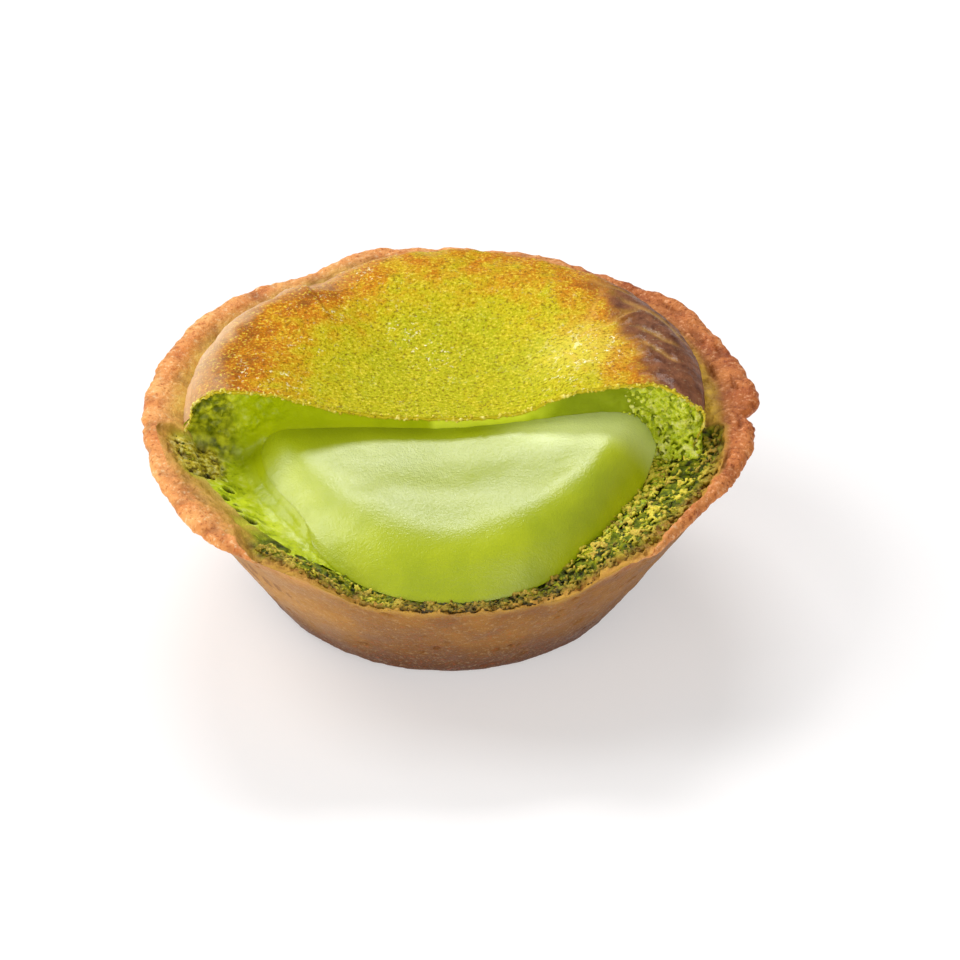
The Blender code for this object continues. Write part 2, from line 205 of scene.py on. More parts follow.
# Bubbles in the set cheese on the left: (azimuth in degrees, distance from the axis, radius)
BUBBLES = (
    (-73.6, 27.6 * MM, 0.5 * MM),
    (-69.9, 28.7 * MM, 0.7 * MM),
    (-70.4, 27.0 * MM, 0.4 * MM),
    (-65.2, 27.2 * MM, 0.75 * MM),
    (-61.2, 28.4 * MM, 0.5 * MM),
    (-58.2, 27.9 * MM, 0.4 * MM),
    (-54.9, 28.5 * MM, 0.5 * MM),
    (-50.7, 28.6 * MM, 1.1 * MM),
    (-47.2, 29.7 * MM, 0.65 * MM),
    (-44.2, 28.9 * MM, 0.65 * MM),
    (-41.0, 28.9 * MM, 0.5 * MM),
    (-38.2, 28.6 * MM, 0.4 * MM),
    (-36.0, 28.2 * MM, 0.34 * MM),
)


# --- numbers and noise ----------------------------------------------------------------------------


def mix(a, b, t):
    return a + (b - a) * t


def smooth(low, high, value):
    """0 below low, 1 above high, with a smooth turn between them."""
    t = np.clip((value - low) / (high - low), 0.0, 1.0)
    return t * t * (3 - 2 * t)


def between(value, start, full, fading, gone):
    """1 from full to fading, falling smoothly to 0 at start and at gone."""
    return smooth(start, full, value) * smooth(gone, fading, value)


def peak(value, centre, width):
    """1 at the centre, falling smoothly to 0 a few widths away."""
    return np.exp(-(((value - centre) / width) ** 2))


def polar(radius, azimuth, z=0.0):
    """Points from their distances from the axis, azimuths and heights."""
    radius, azimuth, z = np.broadcast_arrays(radius, azimuth, z)
    return np.stack((radius * np.sin(azimuth), -radius * np.cos(azimuth), z), axis=-1)


def spots(x, y, z=0.0):
    """Points with these coordinates."""
    return np.stack(np.broadcast_arrays(x, y, z), axis=-1)


def plan(points):
    """The points' x and y."""
    return points[..., 0], points[..., 1]


def away_from(azimuth, degrees=0.0):
    """Degrees from a direction, or from the front, between -180 and 180."""
    return (np.degrees(azimuth) - degrees + 180.0) % 360.0 - 180.0


def bumps(table, azimuth):
    """Sum of the smooth bumps that a table of (azimuth, half width, height) states."""
    return sum(height * peak(away_from(azimuth, at), 0.0, width) for at, width, height in table)


def joined(first, second, reach):
    """The higher of two heights, rounded where they meet."""
    closeness = np.maximum(1.0 - abs(first - second) / reach, 0.0)
    return np.maximum(first, second) + 0.25 * reach * closeness**2


NOISE_SIZE = 256
_random = np.random.default_rng(7)
SHUFFLED = _random.permutation(NOISE_SIZE)
GRADIENTS = _random.normal(size=(NOISE_SIZE, 3))
GRADIENTS /= np.linalg.norm(GRADIENTS, axis=1, keepdims=True)
PLACES = _random.random((NOISE_SIZE, 3))


def cell_number(cell, seed):
    """A repeatable number below NOISE_SIZE for each cell of a cubic lattice."""
    number = SHUFFLED[(cell[..., 0] + seed) % NOISE_SIZE]
    number = SHUFFLED[(number + cell[..., 1]) % NOISE_SIZE]
    return SHUFFLED[(number + cell[..., 2]) % NOISE_SIZE]


def grain(points, size, seed):
    """Smooth noise from about -1 to 1 that varies over about this size."""
    scaled = points / size
    low = np.floor(scaled).astype(np.int64)
    inside = scaled - low
    eased = inside**3 * (inside * (inside * 6.0 - 15.0) + 10.0)
    total = np.zeros(points.shape[:-1])
    for corner in itertools.product((0, 1), repeat=3):
        step = np.array(corner)
        gradient = GRADIENTS[cell_number(low + step, seed)]
        weight = np.prod(np.where(step, eased, 1.0 - eased), axis=-1)
        total += weight * np.sum(gradient * (inside - step), axis=-1)
    return total * 1.6


def rough(points, size, octaves, seed):
    """Noise with finer and finer detail on it."""
    return sum(0.5**k * grain(points, size / 2**k, seed + 31 * k) for k in range(octaves))


def pits(points, size, seed):
    """Distance to the nearest of randomly scattered centres, in units of their spacing."""
    scaled = points / size
    low = np.floor(scaled).astype(np.int64)
    nearest = np.full(points.shape[:-1], 9.0)
    for corner in itertools.product((-1, 0, 1), repeat=3):
        cell = low + np.array(corner)
        offset = cell + PLACES[cell_number(cell, seed)] - scaled
        nearest = np.minimum(nearest, np.sum(offset * offset, axis=-1))
    return np.sqrt(nearest)


# --- curves and surfaces --------------------------------------------------------------------------


def through(points, count):
    """A smooth curve through points along the second last axis, read off at even steps of its points."""
    position = np.linspace(0.0, points.shape[-2] - 1.0, count)
    start = np.minimum(position.astype(int), points.shape[-2] - 2)
    t = (position - start)[:, None]
    last = points.shape[-2] - 1
    before, after = np.maximum(start - 1, 0), np.minimum(start + 2, last)
    a, b, c, d = (points[..., index, :] for index in (before, start, start + 1, after))
    return 0.5 * (2 * b + (c - a) * t + (2 * a - 5 * b + 4 * c - d) * t**2 + (3 * b - a - 3 * c + d) * t**3)


def resampled(curves, shares):
    """Points at these shares of each curve's length. Curves run along the second axis."""
    steps = np.linalg.norm(np.diff(curves, axis=1), axis=2)
    length = np.concatenate((np.zeros((len(curves), 1)), np.cumsum(steps, axis=1)), axis=1)
    result = np.empty((len(curves), len(shares), curves.shape[2]))
    for index, curve in enumerate(curves):
        wanted = shares * length[index, -1]
        for axis in range(curves.shape[2]):
            result[index, :, axis] = np.interp(wanted, length[index], curve[:, axis])
    return result


def grid_normals(points, closed):
    """Outward direction at each point of a grid whose columns run along the first axis."""
    if closed:
        across = np.roll(points, -1, axis=0) - np.roll(points, 1, axis=0)
    else:
        across = np.gradient(points, axis=0)
    along = np.gradient(points, axis=1)
    normal = np.cross(across, along)
    return normal / np.maximum(np.linalg.norm(normal, axis=-1, keepdims=True), 1e-12)


def grid_faces(columns, rows, closed):
    """Quads of a grid whose columns run along the first axis."""
    column = np.arange(columns if closed else columns - 1)
    following = (column + 1) % columns
    row = np.arange(rows - 1)
    a = column[:, None] * rows + row
    b = following[:, None] * rows + row
    return np.stack((a, b, b + 1, a + 1), axis=-1).reshape(-1, 4)


def fan(columns, rows, row, middle):
    """Triangles from the first or the last row of a closed grid to a point in its middle."""
    ring = [column * rows + row for column in range(columns)]
    pairs = zip(ring, ring[1:] + ring[:1])
    return [[middle, after, here] if row == 0 else [middle, here, after] for here, after in pairs]


def put_in_scene(name, data):
    """An object in the scene with this mesh, light or camera."""
    body = bpy.data.objects.new(name, data)
    bpy.context.scene.collection.objects.link(body)
    return body


def add_piece(name, points, faces, material, nodes, attributes=()):
    """A mesh piece that stands for CAD nodes, with one number per point under each attribute's name."""
    mesh_data = bpy.data.meshes.new(name)
    mesh_data.from_pydata(points.reshape(-1, 3).tolist(), [], [list(face) for face in faces])
    for attribute, values in dict(attributes).items():
        layer = mesh_data.attributes.new(attribute, "FLOAT", "POINT")
        layer.data.foreach_set("value", np.asarray(values, np.float32).ravel())
    mesh_data.shade_smooth()
    mesh_data.materials.append(material)
    piece = put_in_scene(name, mesh_data)
    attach(piece, "root")
    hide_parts(*nodes)
    return piece


# --- shapes of the tart ---------------------------------------------------------------------------


def wall_radius(z):
    return BASE_RADIUS + (WALL_TOP_RADIUS - BASE_RADIUS) * z / RIM_HEIGHT


def cavity_radius(z, azimuth):
    return wall_radius(z) - WALL_THICKNESS - WALL_UNEVENNESS * np.sin(azimuth)


def rim_radius(azimuth):
    ripple = 0.22 * MM * rough(polar(7.0, azimuth), 1.0, 3, 3)
    full = RIM_RADIUS + bumps(RIM_LOBES, azimuth) + ripple
    fade = smooth(*RIM_FADE_ENDS, abs(away_from(azimuth)))
    return mix(WALL_TOP_RADIUS + 0.1 * MM, full, fade)


def rim_level(azimuth):
    return RIM_HEIGHT + bumps(RIM_LIFTS, azimuth) + 0.25 * MM * grain(polar(4.0, azimuth, 9.0), 1.0, 5)


def rim_top(radius, azimuth):
    """Height of the rim's top, which falls towards the filling."""
    outer = rim_radius(azimuth) - RIM_SHOULDER
    inner = cavity_radius(RIM_HEIGHT, azimuth)
    share = np.clip((outer - radius) / (outer - inner), 0.0, 1.0)
    return mix(rim_level(azimuth) + RIM_CROWN, DOME_FOOT_Z - 0.1 * MM, share**1.6)


def bite_radius(azimuth):
    """How far out the bite reaches: past the rim at the front, and into it at the sides."""
    degrees = abs(away_from(azimuth))
    towards_cut = smooth(60.0, 88.0, degrees)
    left = mix(*BITE_RADII_LEFT, towards_cut)
    right = mix(*BITE_RADII_RIGHT, towards_cut)
    standing = np.where(np.sin(azimuth) < 0, left, right)
    start = np.where(np.sin(azimuth) < 0, 26.0, 30.0)
    return mix(BITE_RADIUS_FRONT, standing, smooth(start, 82.0 - start, degrees))


def broken_edge_z(azimuth):
    """Height at which the rim is broken off."""
    degrees = abs(away_from(azimuth))
    right = mix(FRONT_BREAK_Z, SIDE_BREAK_Z, smooth(*RIGHT_STEP_ENDS, degrees))
    low, high = LEFT_STEP_ENDS
    left = mix(FRONT_BREAK_Z, LEFT_STEP_Z, smooth(*low, degrees))
    left = mix(left, SIDE_BREAK_Z, smooth(*high, degrees))
    return np.where(np.sin(azimuth) > 0, right, left)


def left_side(x, y):
    """1 on the left of the bite, where smooth set cheese reaches the rim, and 0 elsewhere."""
    azimuth = np.arctan2(x, -y)
    return between(away_from(azimuth), -100.0, -84.0, -44.0, -26.0)


def spongy_patch(x, y):
    """1 in the patch of browned sponge on the left, at the end of the cut face, and 0 around it."""
    away = np.hypot((x + 28.9 * MM) / (3.5 * MM), (y + 6.9 * MM) / (4.8 * MM))
    return smooth(1.25, 0.75, away) * smooth(-2.7 * MM, -3.9 * MM, y)


def sponge_relief(points):
    """Curled ridges and holes."""
    holes = smooth(0.42, 0.1, pits(points, 1.15 * MM, 59))
    return 0.26 * MM * rough(points, 0.8 * MM, 2, 57) - 0.65 * MM * holes


def bubble_depth(x, y):
    """How deep the bubbles cut into the bitten surface, with a slight rim round each."""
    depth = 0.0 * x
    for degrees, distance, radius in BUBBLES:
        centre = polar(distance, math.radians(degrees))
        away = np.hypot(x - centre[0], y - centre[1])
        depth = depth + 1.5 * np.sqrt(np.maximum(radius**2 - away**2, 0.0))
        depth = depth - 0.2 * radius * peak(away, radius * 1.15, 0.25 * radius)
    return depth


def bite_height(x, y, relief=0.3 * MM):
    """Height of the bitten surface of crust and filling."""
    radius = np.hypot(x, y)
    azimuth = np.arctan2(x, -y)
    degrees = abs(away_from(azimuth))
    left = left_side(x, y)
    inner = mix(INNER_BREAK_FRONT_Z, INNER_BREAK_SIDE_Z - 0.8 * MM * left, smooth(10.0, 55.0, degrees))
    reach = np.minimum(bite_radius(azimuth), 31.5 * MM) - INNER_BREAK_RADIUS
    share = np.clip((radius - INNER_BREAK_RADIUS) / reach, 0.0, 1.0)
    height = mix(inner, broken_edge_z(azimuth), share**1.2)
    place = spots(x, y)
    height = height + relief * mix(rough(place, 1.6 * MM, 2, 9), 0.5 * rough(place, 3.0 * MM, 2, 9), left)
    steepness = mix(BREAK_STEEPNESS, BREAK_STEEPNESS_LEFT, left)
    height += steepness * np.maximum(0.0, radius - bite_radius(azimuth) + 0.7 * MM * left)
    height = height - bubble_depth(x, y)
    corner = CUT_Y - CUT_CORNER
    turn = np.clip((y - corner) / (1.6 * CUT_CORNER), 0.0, 1.0)
    return height + 9.0 * MM * (1.0 - np.sqrt(1.0 - turn**2))


def dome_radius(azimuth):
    return DOME_RADIUS + bumps(DOME_PULLS, azimuth)


def ring_height(azimuth):
    """Height of the puffed ring's crest."""
    puffs = PUFF_DEPTH * grain(polar(2.2, azimuth, 5.0), 1.0, 11)
    return DOME_RING_Z + bumps(DOME_SWELLS, azimuth) + puffs


CURVE_POINTS = 200
DOME_CURVE = through(np.array(DOME_TOP), CURVE_POINTS)


def dome_height(x, y):
    """Height of the baked top without its wrinkles."""
    azimuth = np.arctan2(x, -y)
    share = np.hypot(x, y) / dome_radius(azimuth)
    share = share + bumps((DOME_EARLY_RISE,), azimuth) * peak(share, 0.48, 0.2)
    rise = np.interp(share, DOME_CURVE[:, 0], DOME_CURVE[:, 1])
    return mix(DOME_CENTRE_Z, ring_height(azimuth), rise)


def cut_y(x):
    """Where the cut face stands: it comes forward at its right end."""
    return CUT_Y - CUT_SWEEP * smooth(23.0 * MM, 28.0 * MM, x)


def core_outline(azimuth):
    along = np.where(np.cos(azimuth) > 0, CORE_FRONT_RADIUS, CORE_BACK_RADIUS)
    oval = 1.0 / np.hypot(np.sin(azimuth) / CORE_SIDE_RADIUS, np.cos(azimuth) / along)
    return oval - bumps(CORE_INSETS, azimuth)


def core_edge_z(azimuth):
    """Height of the soft cheese's edge, which is lowest at the front."""
    side = CORE_EDGE_SIDE_Z + CORE_EDGE_RIGHT_RISE * smooth(55.0, 80.0, away_from(azimuth))
    return mix(side, CORE_EDGE_FRONT_Z, smooth(0.7, 1.0, np.cos(azimuth)))


CREST_CURVE = through(np.array(CORE_CREST) * MM, CURVE_POINTS)
FALL_CURVE = through(np.array(CORE_FALL) * MM, CURVE_POINTS)


def core_share(x, y):
    """Distance from the soft cheese's middle, as a share of its outline's."""
    across = x - CORE_CENTRE_X
    return np.hypot(across, y) / core_outline(np.arctan2(across, -y))


def inside_core(x, y):
    """How far inside the soft cheese's outline a place is."""
    return (1.0 - core_share(x, y)) * CORE_SIDE_RADIUS


def core_top(x, y):
    """Height of the soft cheese: nearly level at the cut face, with sides that roll down to its edge."""
    around = np.arctan2(x - CORE_CENTRE_X, -y)
    share = core_share(x, y)
    plateau = np.interp(x, CREST_CURVE[:, 0], CREST_CURVE[:, 1])
    plateau = plateau - np.interp(CUT_Y - y, FALL_CURVE[:, 0], FALL_CURVE[:, 1])
    swell_x, swell_width, distance, depth, rise = CORE_SWELL
    plateau = plateau + rise * peak(x, swell_x, swell_width) * peak(CUT_Y - y, distance, depth)
    plateau = np.minimum(plateau, dome_height(x, y) - 1.5 * MM)
    shoulder = np.interp(away_from(around), *np.array(CORE_SHOULDER).T)
    rolled = np.clip((share - shoulder) / (1.0 - shoulder), 0.0, 1.0) ** CORE_ROLL
    edge = core_edge_z(around)
    lip = CORE_LIP * np.sqrt(1.0 - np.minimum(share, 1.0) ** 12)
    height = edge + (plateau - edge) * (1.0 - rolled * (1.0 - lip))
    beyond = np.maximum(share - 1.0, 0.0) * CORE_SIDE_RADIUS
    return height - 1.2 * beyond


def left_surface(x, y):
    """The surface on the left, where the soft cheese runs into the set cheese without an edge."""
    return joined(core_top(x, y), bite_height(x, np.minimum(y, CUT_Y - CUT_CORNER)), CORE_BLEND)


def soft_relief(points):
    """Slight unevenness of a soft, smooth surface."""
    return 0.06 * MM * rough(points, 5.0 * MM, 2, 81) + 0.012 * MM * grain(points, 0.7 * MM, 83)


# --- the crust ------------------------------------------------------------------------------------

CRUST_COLUMNS = 760
WALL_ROWS = 84
TOP_ROWS = 42
INNER_ROWS = 4
# Where rows get closer: shares of the rows, and of the length from the middle of the base to the rim's edge
ROW_SPACING = ((0.0, 0.05, 0.58, 1.0), (0.0, 0.34, 0.8, 1.0))


def crust_azimuths():
    """Directions of the crust's columns, closer together where it is torn."""
    degrees = np.linspace(-180.0, 180.0, 4 * 360 + 1)
    density = 1.0 + 1.3 * peak(degrees, -58.0, 34.0) + 0.7 * peak(degrees, 60.0, 45.0)
    passed = np.concatenate(((0.0,), np.cumsum(0.5 * (density[1:] + density[:-1]))))
    wanted = np.arange(CRUST_COLUMNS) / CRUST_COLUMNS * passed[-1]
    return np.radians(np.interp(wanted, passed, degrees))


# Cracks of the rim: (azimuth in degrees, distance from the axis, half length, half width, depth)
RIM_CRACKS = (
    (104.0, 31.6 * MM, 1.9 * MM, 0.3 * MM, 1.1 * MM),
    (97.0, 33.4 * MM, 1.1 * MM, 0.28 * MM, 0.8 * MM),
    (116.0, 32.6 * MM, 1.6 * MM, 0.32 * MM, 0.8 * MM),
    (110.0, 34.0 * MM, 0.9 * MM, 0.26 * MM, 0.6 * MM),
    (84.0, 33.6 * MM, 1.0 * MM, 0.28 * MM, 0.7 * MM),
    (72.0, 33.0 * MM, 1.9 * MM, 0.32 * MM, 0.8 * MM),
    (128.0, 33.4 * MM, 1.3 * MM, 0.3 * MM, 0.6 * MM),
)


def outer_curves(azimuth):
    """(radius, height) from the middle of the base, round the foot, up the wall and over the rim's edge."""
    edge_radius, edge_z = rim_radius(azimuth), rim_level(azimuth)
    under_lip = edge_z - RIM_SHOULDER
    stations = [(BASE_RADIUS * share + 0 * azimuth, 0 * azimuth) for share in (0.3, 0.65, 0.85)]
    for turn in (0.0, 0.35, 0.7, 1.0):
        angle = turn * math.pi / 2
        z = FOOT_ROUND * (1.0 - math.cos(angle)) + 0 * azimuth
        stations.append((wall_radius(z) - FOOT_ROUND * (1.0 - math.sin(angle)), z))
    for share in (0.12, 0.25, 0.4, 0.55, 0.7, 0.85, 1.0):
        z = mix(FOOT_ROUND, under_lip, share)
        stations.append((wall_radius(z), z))
    for turn in (0.12, 0.3, 0.5, 0.7, 0.85, 1.0):
        angle = (turn - 0.5) * math.pi
        radius = edge_radius - RIM_ROUND * (1.0 - math.cos(angle))
        stations.append((radius, edge_z + RIM_CROWN * math.sin(angle)))
    stations.append((edge_radius - RIM_SHOULDER, edge_z + RIM_CROWN))
    return through(np.array(stations).transpose(2, 0, 1), 420)


def crust_relief(points, torn, edge_share, spongy):
    """Sandy grain, pocks, lumps and cracks of the crust, outwards."""
    x, y, height = points[..., 0], points[..., 1], points[..., 2]
    azimuth = np.arctan2(x, -y)
    right = between(away_from(azimuth), 30.0, 60.0, 140.0, 160.0)
    sandy = 0.05 * MM * rough(points, 1.0 * MM, 2, 21) + 0.14 * MM * rough(points, 4.5 * MM, 2, 23)
    pocked = smooth(-0.05, 0.45, grain(points, 5.0 * MM, 31)) * (1.0 - 0.85 * edge_share)
    pocks = -0.32 * MM * smooth(0.3, 0.1, pits(points * (0.8, 0.8, 1.1), 1.5 * MM, 25)) * pocked
    swells = 0.2 * MM * rough(points, 2.4 * MM, 3, 27) + 0.1 * MM * rough(points, 0.75 * MM, 2, 37)
    swells = swells + 0.12 * MM * right * rough(points, 1.2 * MM, 3, 39)
    cracks = 0.0
    for degrees, distance, length, width, depth in RIM_CRACKS:
        along = np.radians(away_from(azimuth, degrees)) * distance
        outwards = np.hypot(x, y) - distance - 0.25 * MM * grain(points, 0.8 * MM, 35)
        cracks = cracks - depth * peak(along, 0.0, length) * peak(outwards, 0.0, width)
    whole = sandy + pocks + (swells + 0.7 * cracks) * edge_share
    crags = 0.3 * MM * rough(points, 0.9 * MM, 2, 29)
    crags = crags - 0.4 * MM * smooth(0.5, 0.15, pits(points, 0.9 * MM, 33))
    smooth_left = mix(0.02 * MM * grain(points, 0.6 * MM, 51), sponge_relief(points), spongy)
    relief = mix(whole, mix(crags, smooth_left, left_side(x, y)), torn)
    return relief * smooth(0.0, 1.0 * MM, height)


def outer_rows(azimuth):
    """(radius, height) of the crust's outside, up to the rim's edge or to where it is broken off."""
    curves = outer_curves(azimuth)
    broken = bite_height(*plan(polar(curves[..., 0], azimuth[:, None]))) < curves[..., 1]
    broken &= curves[..., 1] > 0.5 * RIM_HEIGHT
    end = np.where(broken.any(axis=1), broken.argmax(axis=1), curves.shape[1] - 1)
    for index, last in enumerate(end):
        curves[index, last:] = curves[index, last]
    return resampled(curves, np.interp(np.linspace(0.0, 1.0, WALL_ROWS), *ROW_SPACING))


def torn_shares(azimuth, outer, radius, missing):
    """How far each point is torn open, how near it is to the break, and how near to its browned outer edge.

    missing is the height that the bite has taken off the rim's top at each radius.
    """
    torn, near, brown_edge = np.zeros((3, len(azimuth), WALL_ROWS + TOP_ROWS + INNER_ROWS))
    on_top = np.s_[:, WALL_ROWS:-INNER_ROWS]
    edge = outer[:, -1:, :]
    x, y = plan(polar(radius, azimuth[:, None]))
    on_left = left_side(x, y)
    start, full = mix(-0.1 * MM, 0.3 * MM, on_left), mix(0.5 * MM, 1.3 * MM, on_left)
    opened = smooth(0.0, 1.0, (missing - start) / (full - start))
    opened = np.maximum(opened, spongy_patch(x, y) * smooth(-0.4 * MM, 0.1 * MM, missing))
    torn[on_top] = opened * smooth(0.1 * MM, 0.9 * MM, edge[..., 0] - radius)
    torn[:, -INNER_ROWS:] = torn[:, -INNER_ROWS - 1 : -INNER_ROWS]
    is_broken = smooth(0.3 * MM, 1.0 * MM, rim_level(azimuth) - edge[:, 0, 1])[:, None]
    near[on_top] = smooth(-1.6 * MM, 0.3 * MM, missing)
    near[:, :WALL_ROWS] = smooth(1.5 * MM, 0.0, edge[..., 1] - outer[..., 1]) * is_broken
    brown_edge[on_top] = smooth(2.8 * MM, 0.5 * MM, edge[..., 0] - radius)
    return torn, near, brown_edge


def make_crust():
    azimuth = crust_azimuths()
    outer = outer_rows(azimuth)
    edge = outer[:, -1:, :]
    inner_radius = cavity_radius(edge[..., 1], azimuth[:, None])
    radius = mix(edge[..., 0], inner_radius, np.linspace(0.0, 1.0, TOP_ROWS + 1)[1:])
    whole = rim_top(radius, azimuth[:, None])
    bitten = bite_height(*plan(polar(radius, azimuth[:, None])))
    top = np.stack((radius, np.minimum(whole, bitten)), axis=-1)
    below_z = top[:, -1:, 1] - INNER_WALL_DEPTH * np.linspace(0.0, 1.0, INNER_ROWS + 1)[1:]
    below = np.stack((cavity_radius(below_z, azimuth[:, None]) - 0.1 * MM, below_z), axis=-1)
    torn, near, brown_edge = torn_shares(azimuth, outer, radius, whole - bitten)

    radius, height = np.moveaxis(np.concatenate((outer, top, below), axis=1), -1, 0)
    points = polar(radius, azimuth[:, None], height)
    degrees = away_from(azimuth[:, None] + 0.0 * radius)
    edge_share = smooth(RIM_HEIGHT - 6.0 * MM, RIM_HEIGHT + 0.5 * MM, height)
    stained_from = mix(33.2, 32.0, smooth(30.0, 70.0, degrees)) * MM
    spongy = spongy_patch(*plan(points))
    drop = bubble_depth(*plan(points))
    relief = crust_relief(points, torn, edge_share, spongy)
    points = points + grid_normals(points, True) * relief[..., None]
    shallow = 0.25 * MM * (1.0 - torn) + 0.4 * MM * torn
    values = {
        "torn": torn,
        "brown_edge": brown_edge,
        "near_break": near,
        "baked": edge_share * smooth(29.5 * MM, 33.5 * MM, radius),
        "stained": smooth(stained_from, 30.0 * MM, radius) * smooth(18.0 * MM, 20.5 * MM, height),
        "dark_side": between(degrees, 25.0, 70.0, 140.0, 178.0),
        # painted light: the wall is made lighter on its left, where light falls on it
        "painted_light_wall": between(degrees, -165.0, -105.0, -42.0, -8.0),
        # painted shade: the wall darkens towards its foot
        "low": smooth(11.0 * MM, 0.0, height),
        # painted shade: darker in the pocks, bubbles and torn pits
        "hollow_shade": np.clip(-relief / shallow + smooth(0.1 * MM, 0.5 * MM, drop), 0.0, 1.0),
        "spongy": spongy * torn,
        "smooth_left": between(degrees, -100.0, -84.0, -50.0, -40.0),
    }
    values = {key: np.append(value.ravel(), 0.0) for key, value in values.items()}
    everything = np.vstack((points.reshape(-1, 3), points[:, 0].mean(axis=0)))
    faces = grid_faces(*points.shape[:2], True).tolist() + fan(*points.shape[:2], 0, len(everything) - 1)
    return add_piece("crust", everything, faces, crust_material(), ["tart_shell"], values)


# --- the set cheese -------------------------------------------------------------------------------

CHEESE_SPACING = 0.19 * MM
CHEESE_FINE_SPACING = 0.115 * MM  # on the left, where the bubbles are
CHEESE_FINE_END = -15.5 * MM
CHEESE_FLOOR_ROWS = 150
CHEESE_FACE_ROWS = 40


def face_y(x, z):
    """Where the cut face stands, with the torn relief of the set cheese."""
    place = spots(x, 0.0, z)
    towards_wall = smooth(15.0 * MM, 26.0 * MM, abs(x))
    soft = 0.12 * MM * rough(place, 2.4 * MM, 2, 41)
    torn = 0.5 * MM * rough(place, 1.3 * MM, 3, 43)
    return cut_y(x) + mix(soft, torn, towards_wall)


def ring_edge_y(x):
    """Front edge of the set cheese, where it meets the crust."""
    y = -np.sqrt(np.maximum((28.0 * MM) ** 2 - x * x, 0.0))
    for _ in range(4):
        azimuth = np.arctan2(x, -y)
        level = mix(17.0 * MM, 21.2 * MM, left_side(x, y))
        reach = cavity_radius(level, azimuth) + 0.3 * MM
        y = -np.sqrt(np.maximum(reach**2 - x * x, (0.2 * MM) ** 2))
    return np.minimum(y, cut_y(x) - CUT_CORNER - 0.1 * MM)


def cheese_height(x, y):
    """The bitten surface of the set cheese: into the soft cheese on the left, and under it elsewhere."""
    height = bite_height(x, np.minimum(y, CUT_Y - CUT_CORNER))
    left = left_side(x, y)
    place = spots(x, y)
    inside = inside_core(x, y)
    under = 1.2 * MM * smooth(0.7 * MM, 1.9 * MM, inside)
    rising = left_surface(x, y) - under
    streaks = 0.16 * MM * grain(place * (2.2, 0.7, 1.0), 3.0 * MM, 53) * smooth(0.3 * MM, -2.0 * MM, inside)
    height = height + 0.3 * MM * rough(place, 0.8 * MM, 2, 45)
    height = np.where(inside > -0.3 * MM, np.minimum(height, core_top(x, y) - 0.3 * MM), height)
    return mix(height, rising + streaks, left)


def cheese_columns():
    """x of the set cheese's columns, closer together on the left."""
    half = DOME_RADIUS - 0.3 * MM
    fine = np.arange(-half, CHEESE_FINE_END, CHEESE_FINE_SPACING)
    coarse = np.linspace(CHEESE_FINE_END, half, int((half - CHEESE_FINE_END) / CHEESE_SPACING))
    return np.concatenate((fine, coarse))[:, None]


def cheese_surface(x, top):
    """The bitten floor, the rounded corner behind it and the cut face up to its top."""
    corner = cut_y(x) - CUT_CORNER
    y = mix(ring_edge_y(x), corner, np.linspace(0.0, 1.0, CHEESE_FLOOR_ROWS) ** 0.9)
    floor = spots(x, y, cheese_height(x, y))
    angle = np.linspace(0.0, math.pi / 2, 9)[1:]
    low = floor[:, -1:, 2]
    turn = spots(x, corner + CUT_CORNER * np.sin(angle), low + CUT_CORNER * (1.0 - np.cos(angle)))
    start = turn[:, -1:, 2]
    face_z = mix(start, np.maximum(top, start + 0.2 * MM), np.linspace(0.0, 1.0, CHEESE_FACE_ROWS + 1)[1:])
    easing = smooth(0.0, 1.5 * MM, face_z - start)
    face = spots(x, mix(cut_y(x), face_y(x, face_z), easing), face_z)
    points = np.concatenate((floor, turn, face), axis=1)
    widening = smooth(-26.5 * MM, -29.0 * MM, x) * smooth(23.4 * MM, 21.2 * MM, points[..., 2])
    points[..., 0] -= 1.2 * MM * widening * smooth(CUT_Y - 3.0 * MM, CUT_Y - 1.0 * MM, points[..., 1])
    return points


def make_set_cheese():
    column_x = cheese_columns()
    top = dome_height(column_x, cut_y(column_x)) - 0.3 * MM
    points = cheese_surface(column_x, top)
    x, y = plan(points)
    right_corner = smooth(20.0 * MM, 25.0 * MM, x) * smooth(-9.0 * MM, -4.0 * MM, y)
    left_corner = smooth(22.5 * MM, 25.5 * MM, -x) * smooth(-5.0 * MM, -3.0 * MM, y)
    open_texture = np.maximum(right_corner, left_corner)
    holes = -0.2 * MM * smooth(0.5, 0.12, pits(points, 0.9 * MM, 47)) * right_corner
    grains = 0.2 * MM * rough(points, 0.8 * MM, 2, 49)
    grains = grains + 0.16 * MM * rough(points, 1.7 * MM, 2, 55) * left_corner
    relief = mix(soft_relief(points), holes + grains, open_texture)
    spongy = spongy_patch(x, y)
    relief = mix(relief, sponge_relief(points), spongy)
    points = points + grid_normals(points, False) * relief[..., None]

    x, y = plan(points)
    left, inside = left_side(x, y), inside_core(x, y)
    ahead = smooth(-0.9 * MM, 0.0, y - cut_y(column_x))
    crumb_like = (1.0 - left) * smooth(-4.0 * MM, -6.0 * MM, y)
    below_skin = smooth(2.6 * MM, 0.0, top - points[..., 2])
    values = {
        "torn": np.maximum(crumb_like, 0.8 * open_texture),
        "corner": left_corner,
        # painted shade in the pits of the open texture and the sponge
        "hollow_shade": np.clip(-relief / (0.35 * MM), 0.0, 1.0) * np.maximum(open_texture, spongy),
        # painted shade: the bubbles are darker inside
        "bubble": smooth(0.1 * MM, 0.5 * MM, bubble_depth(x, y)),
        "mottled": left * smooth(1.0 * MM, -1.2 * MM, inside),
        "spongy": spongy,
        "soft": left * smooth(-3.4 * MM, 0.0, inside),
        # painted light: the cut face under the skin is made lighter
        "wall": below_skin * ahead * smooth(15.0 * MM, 6.0 * MM, column_x),
        "shaded": smooth(8.0 * MM, 15.0 * MM, column_x) * ahead,
    }
    faces = grid_faces(*points.shape[:2], False)
    return add_piece("set_cheese", points, faces, cheese_material(), ["set_filling"], values)


# --- the baked skin -------------------------------------------------------------------------------

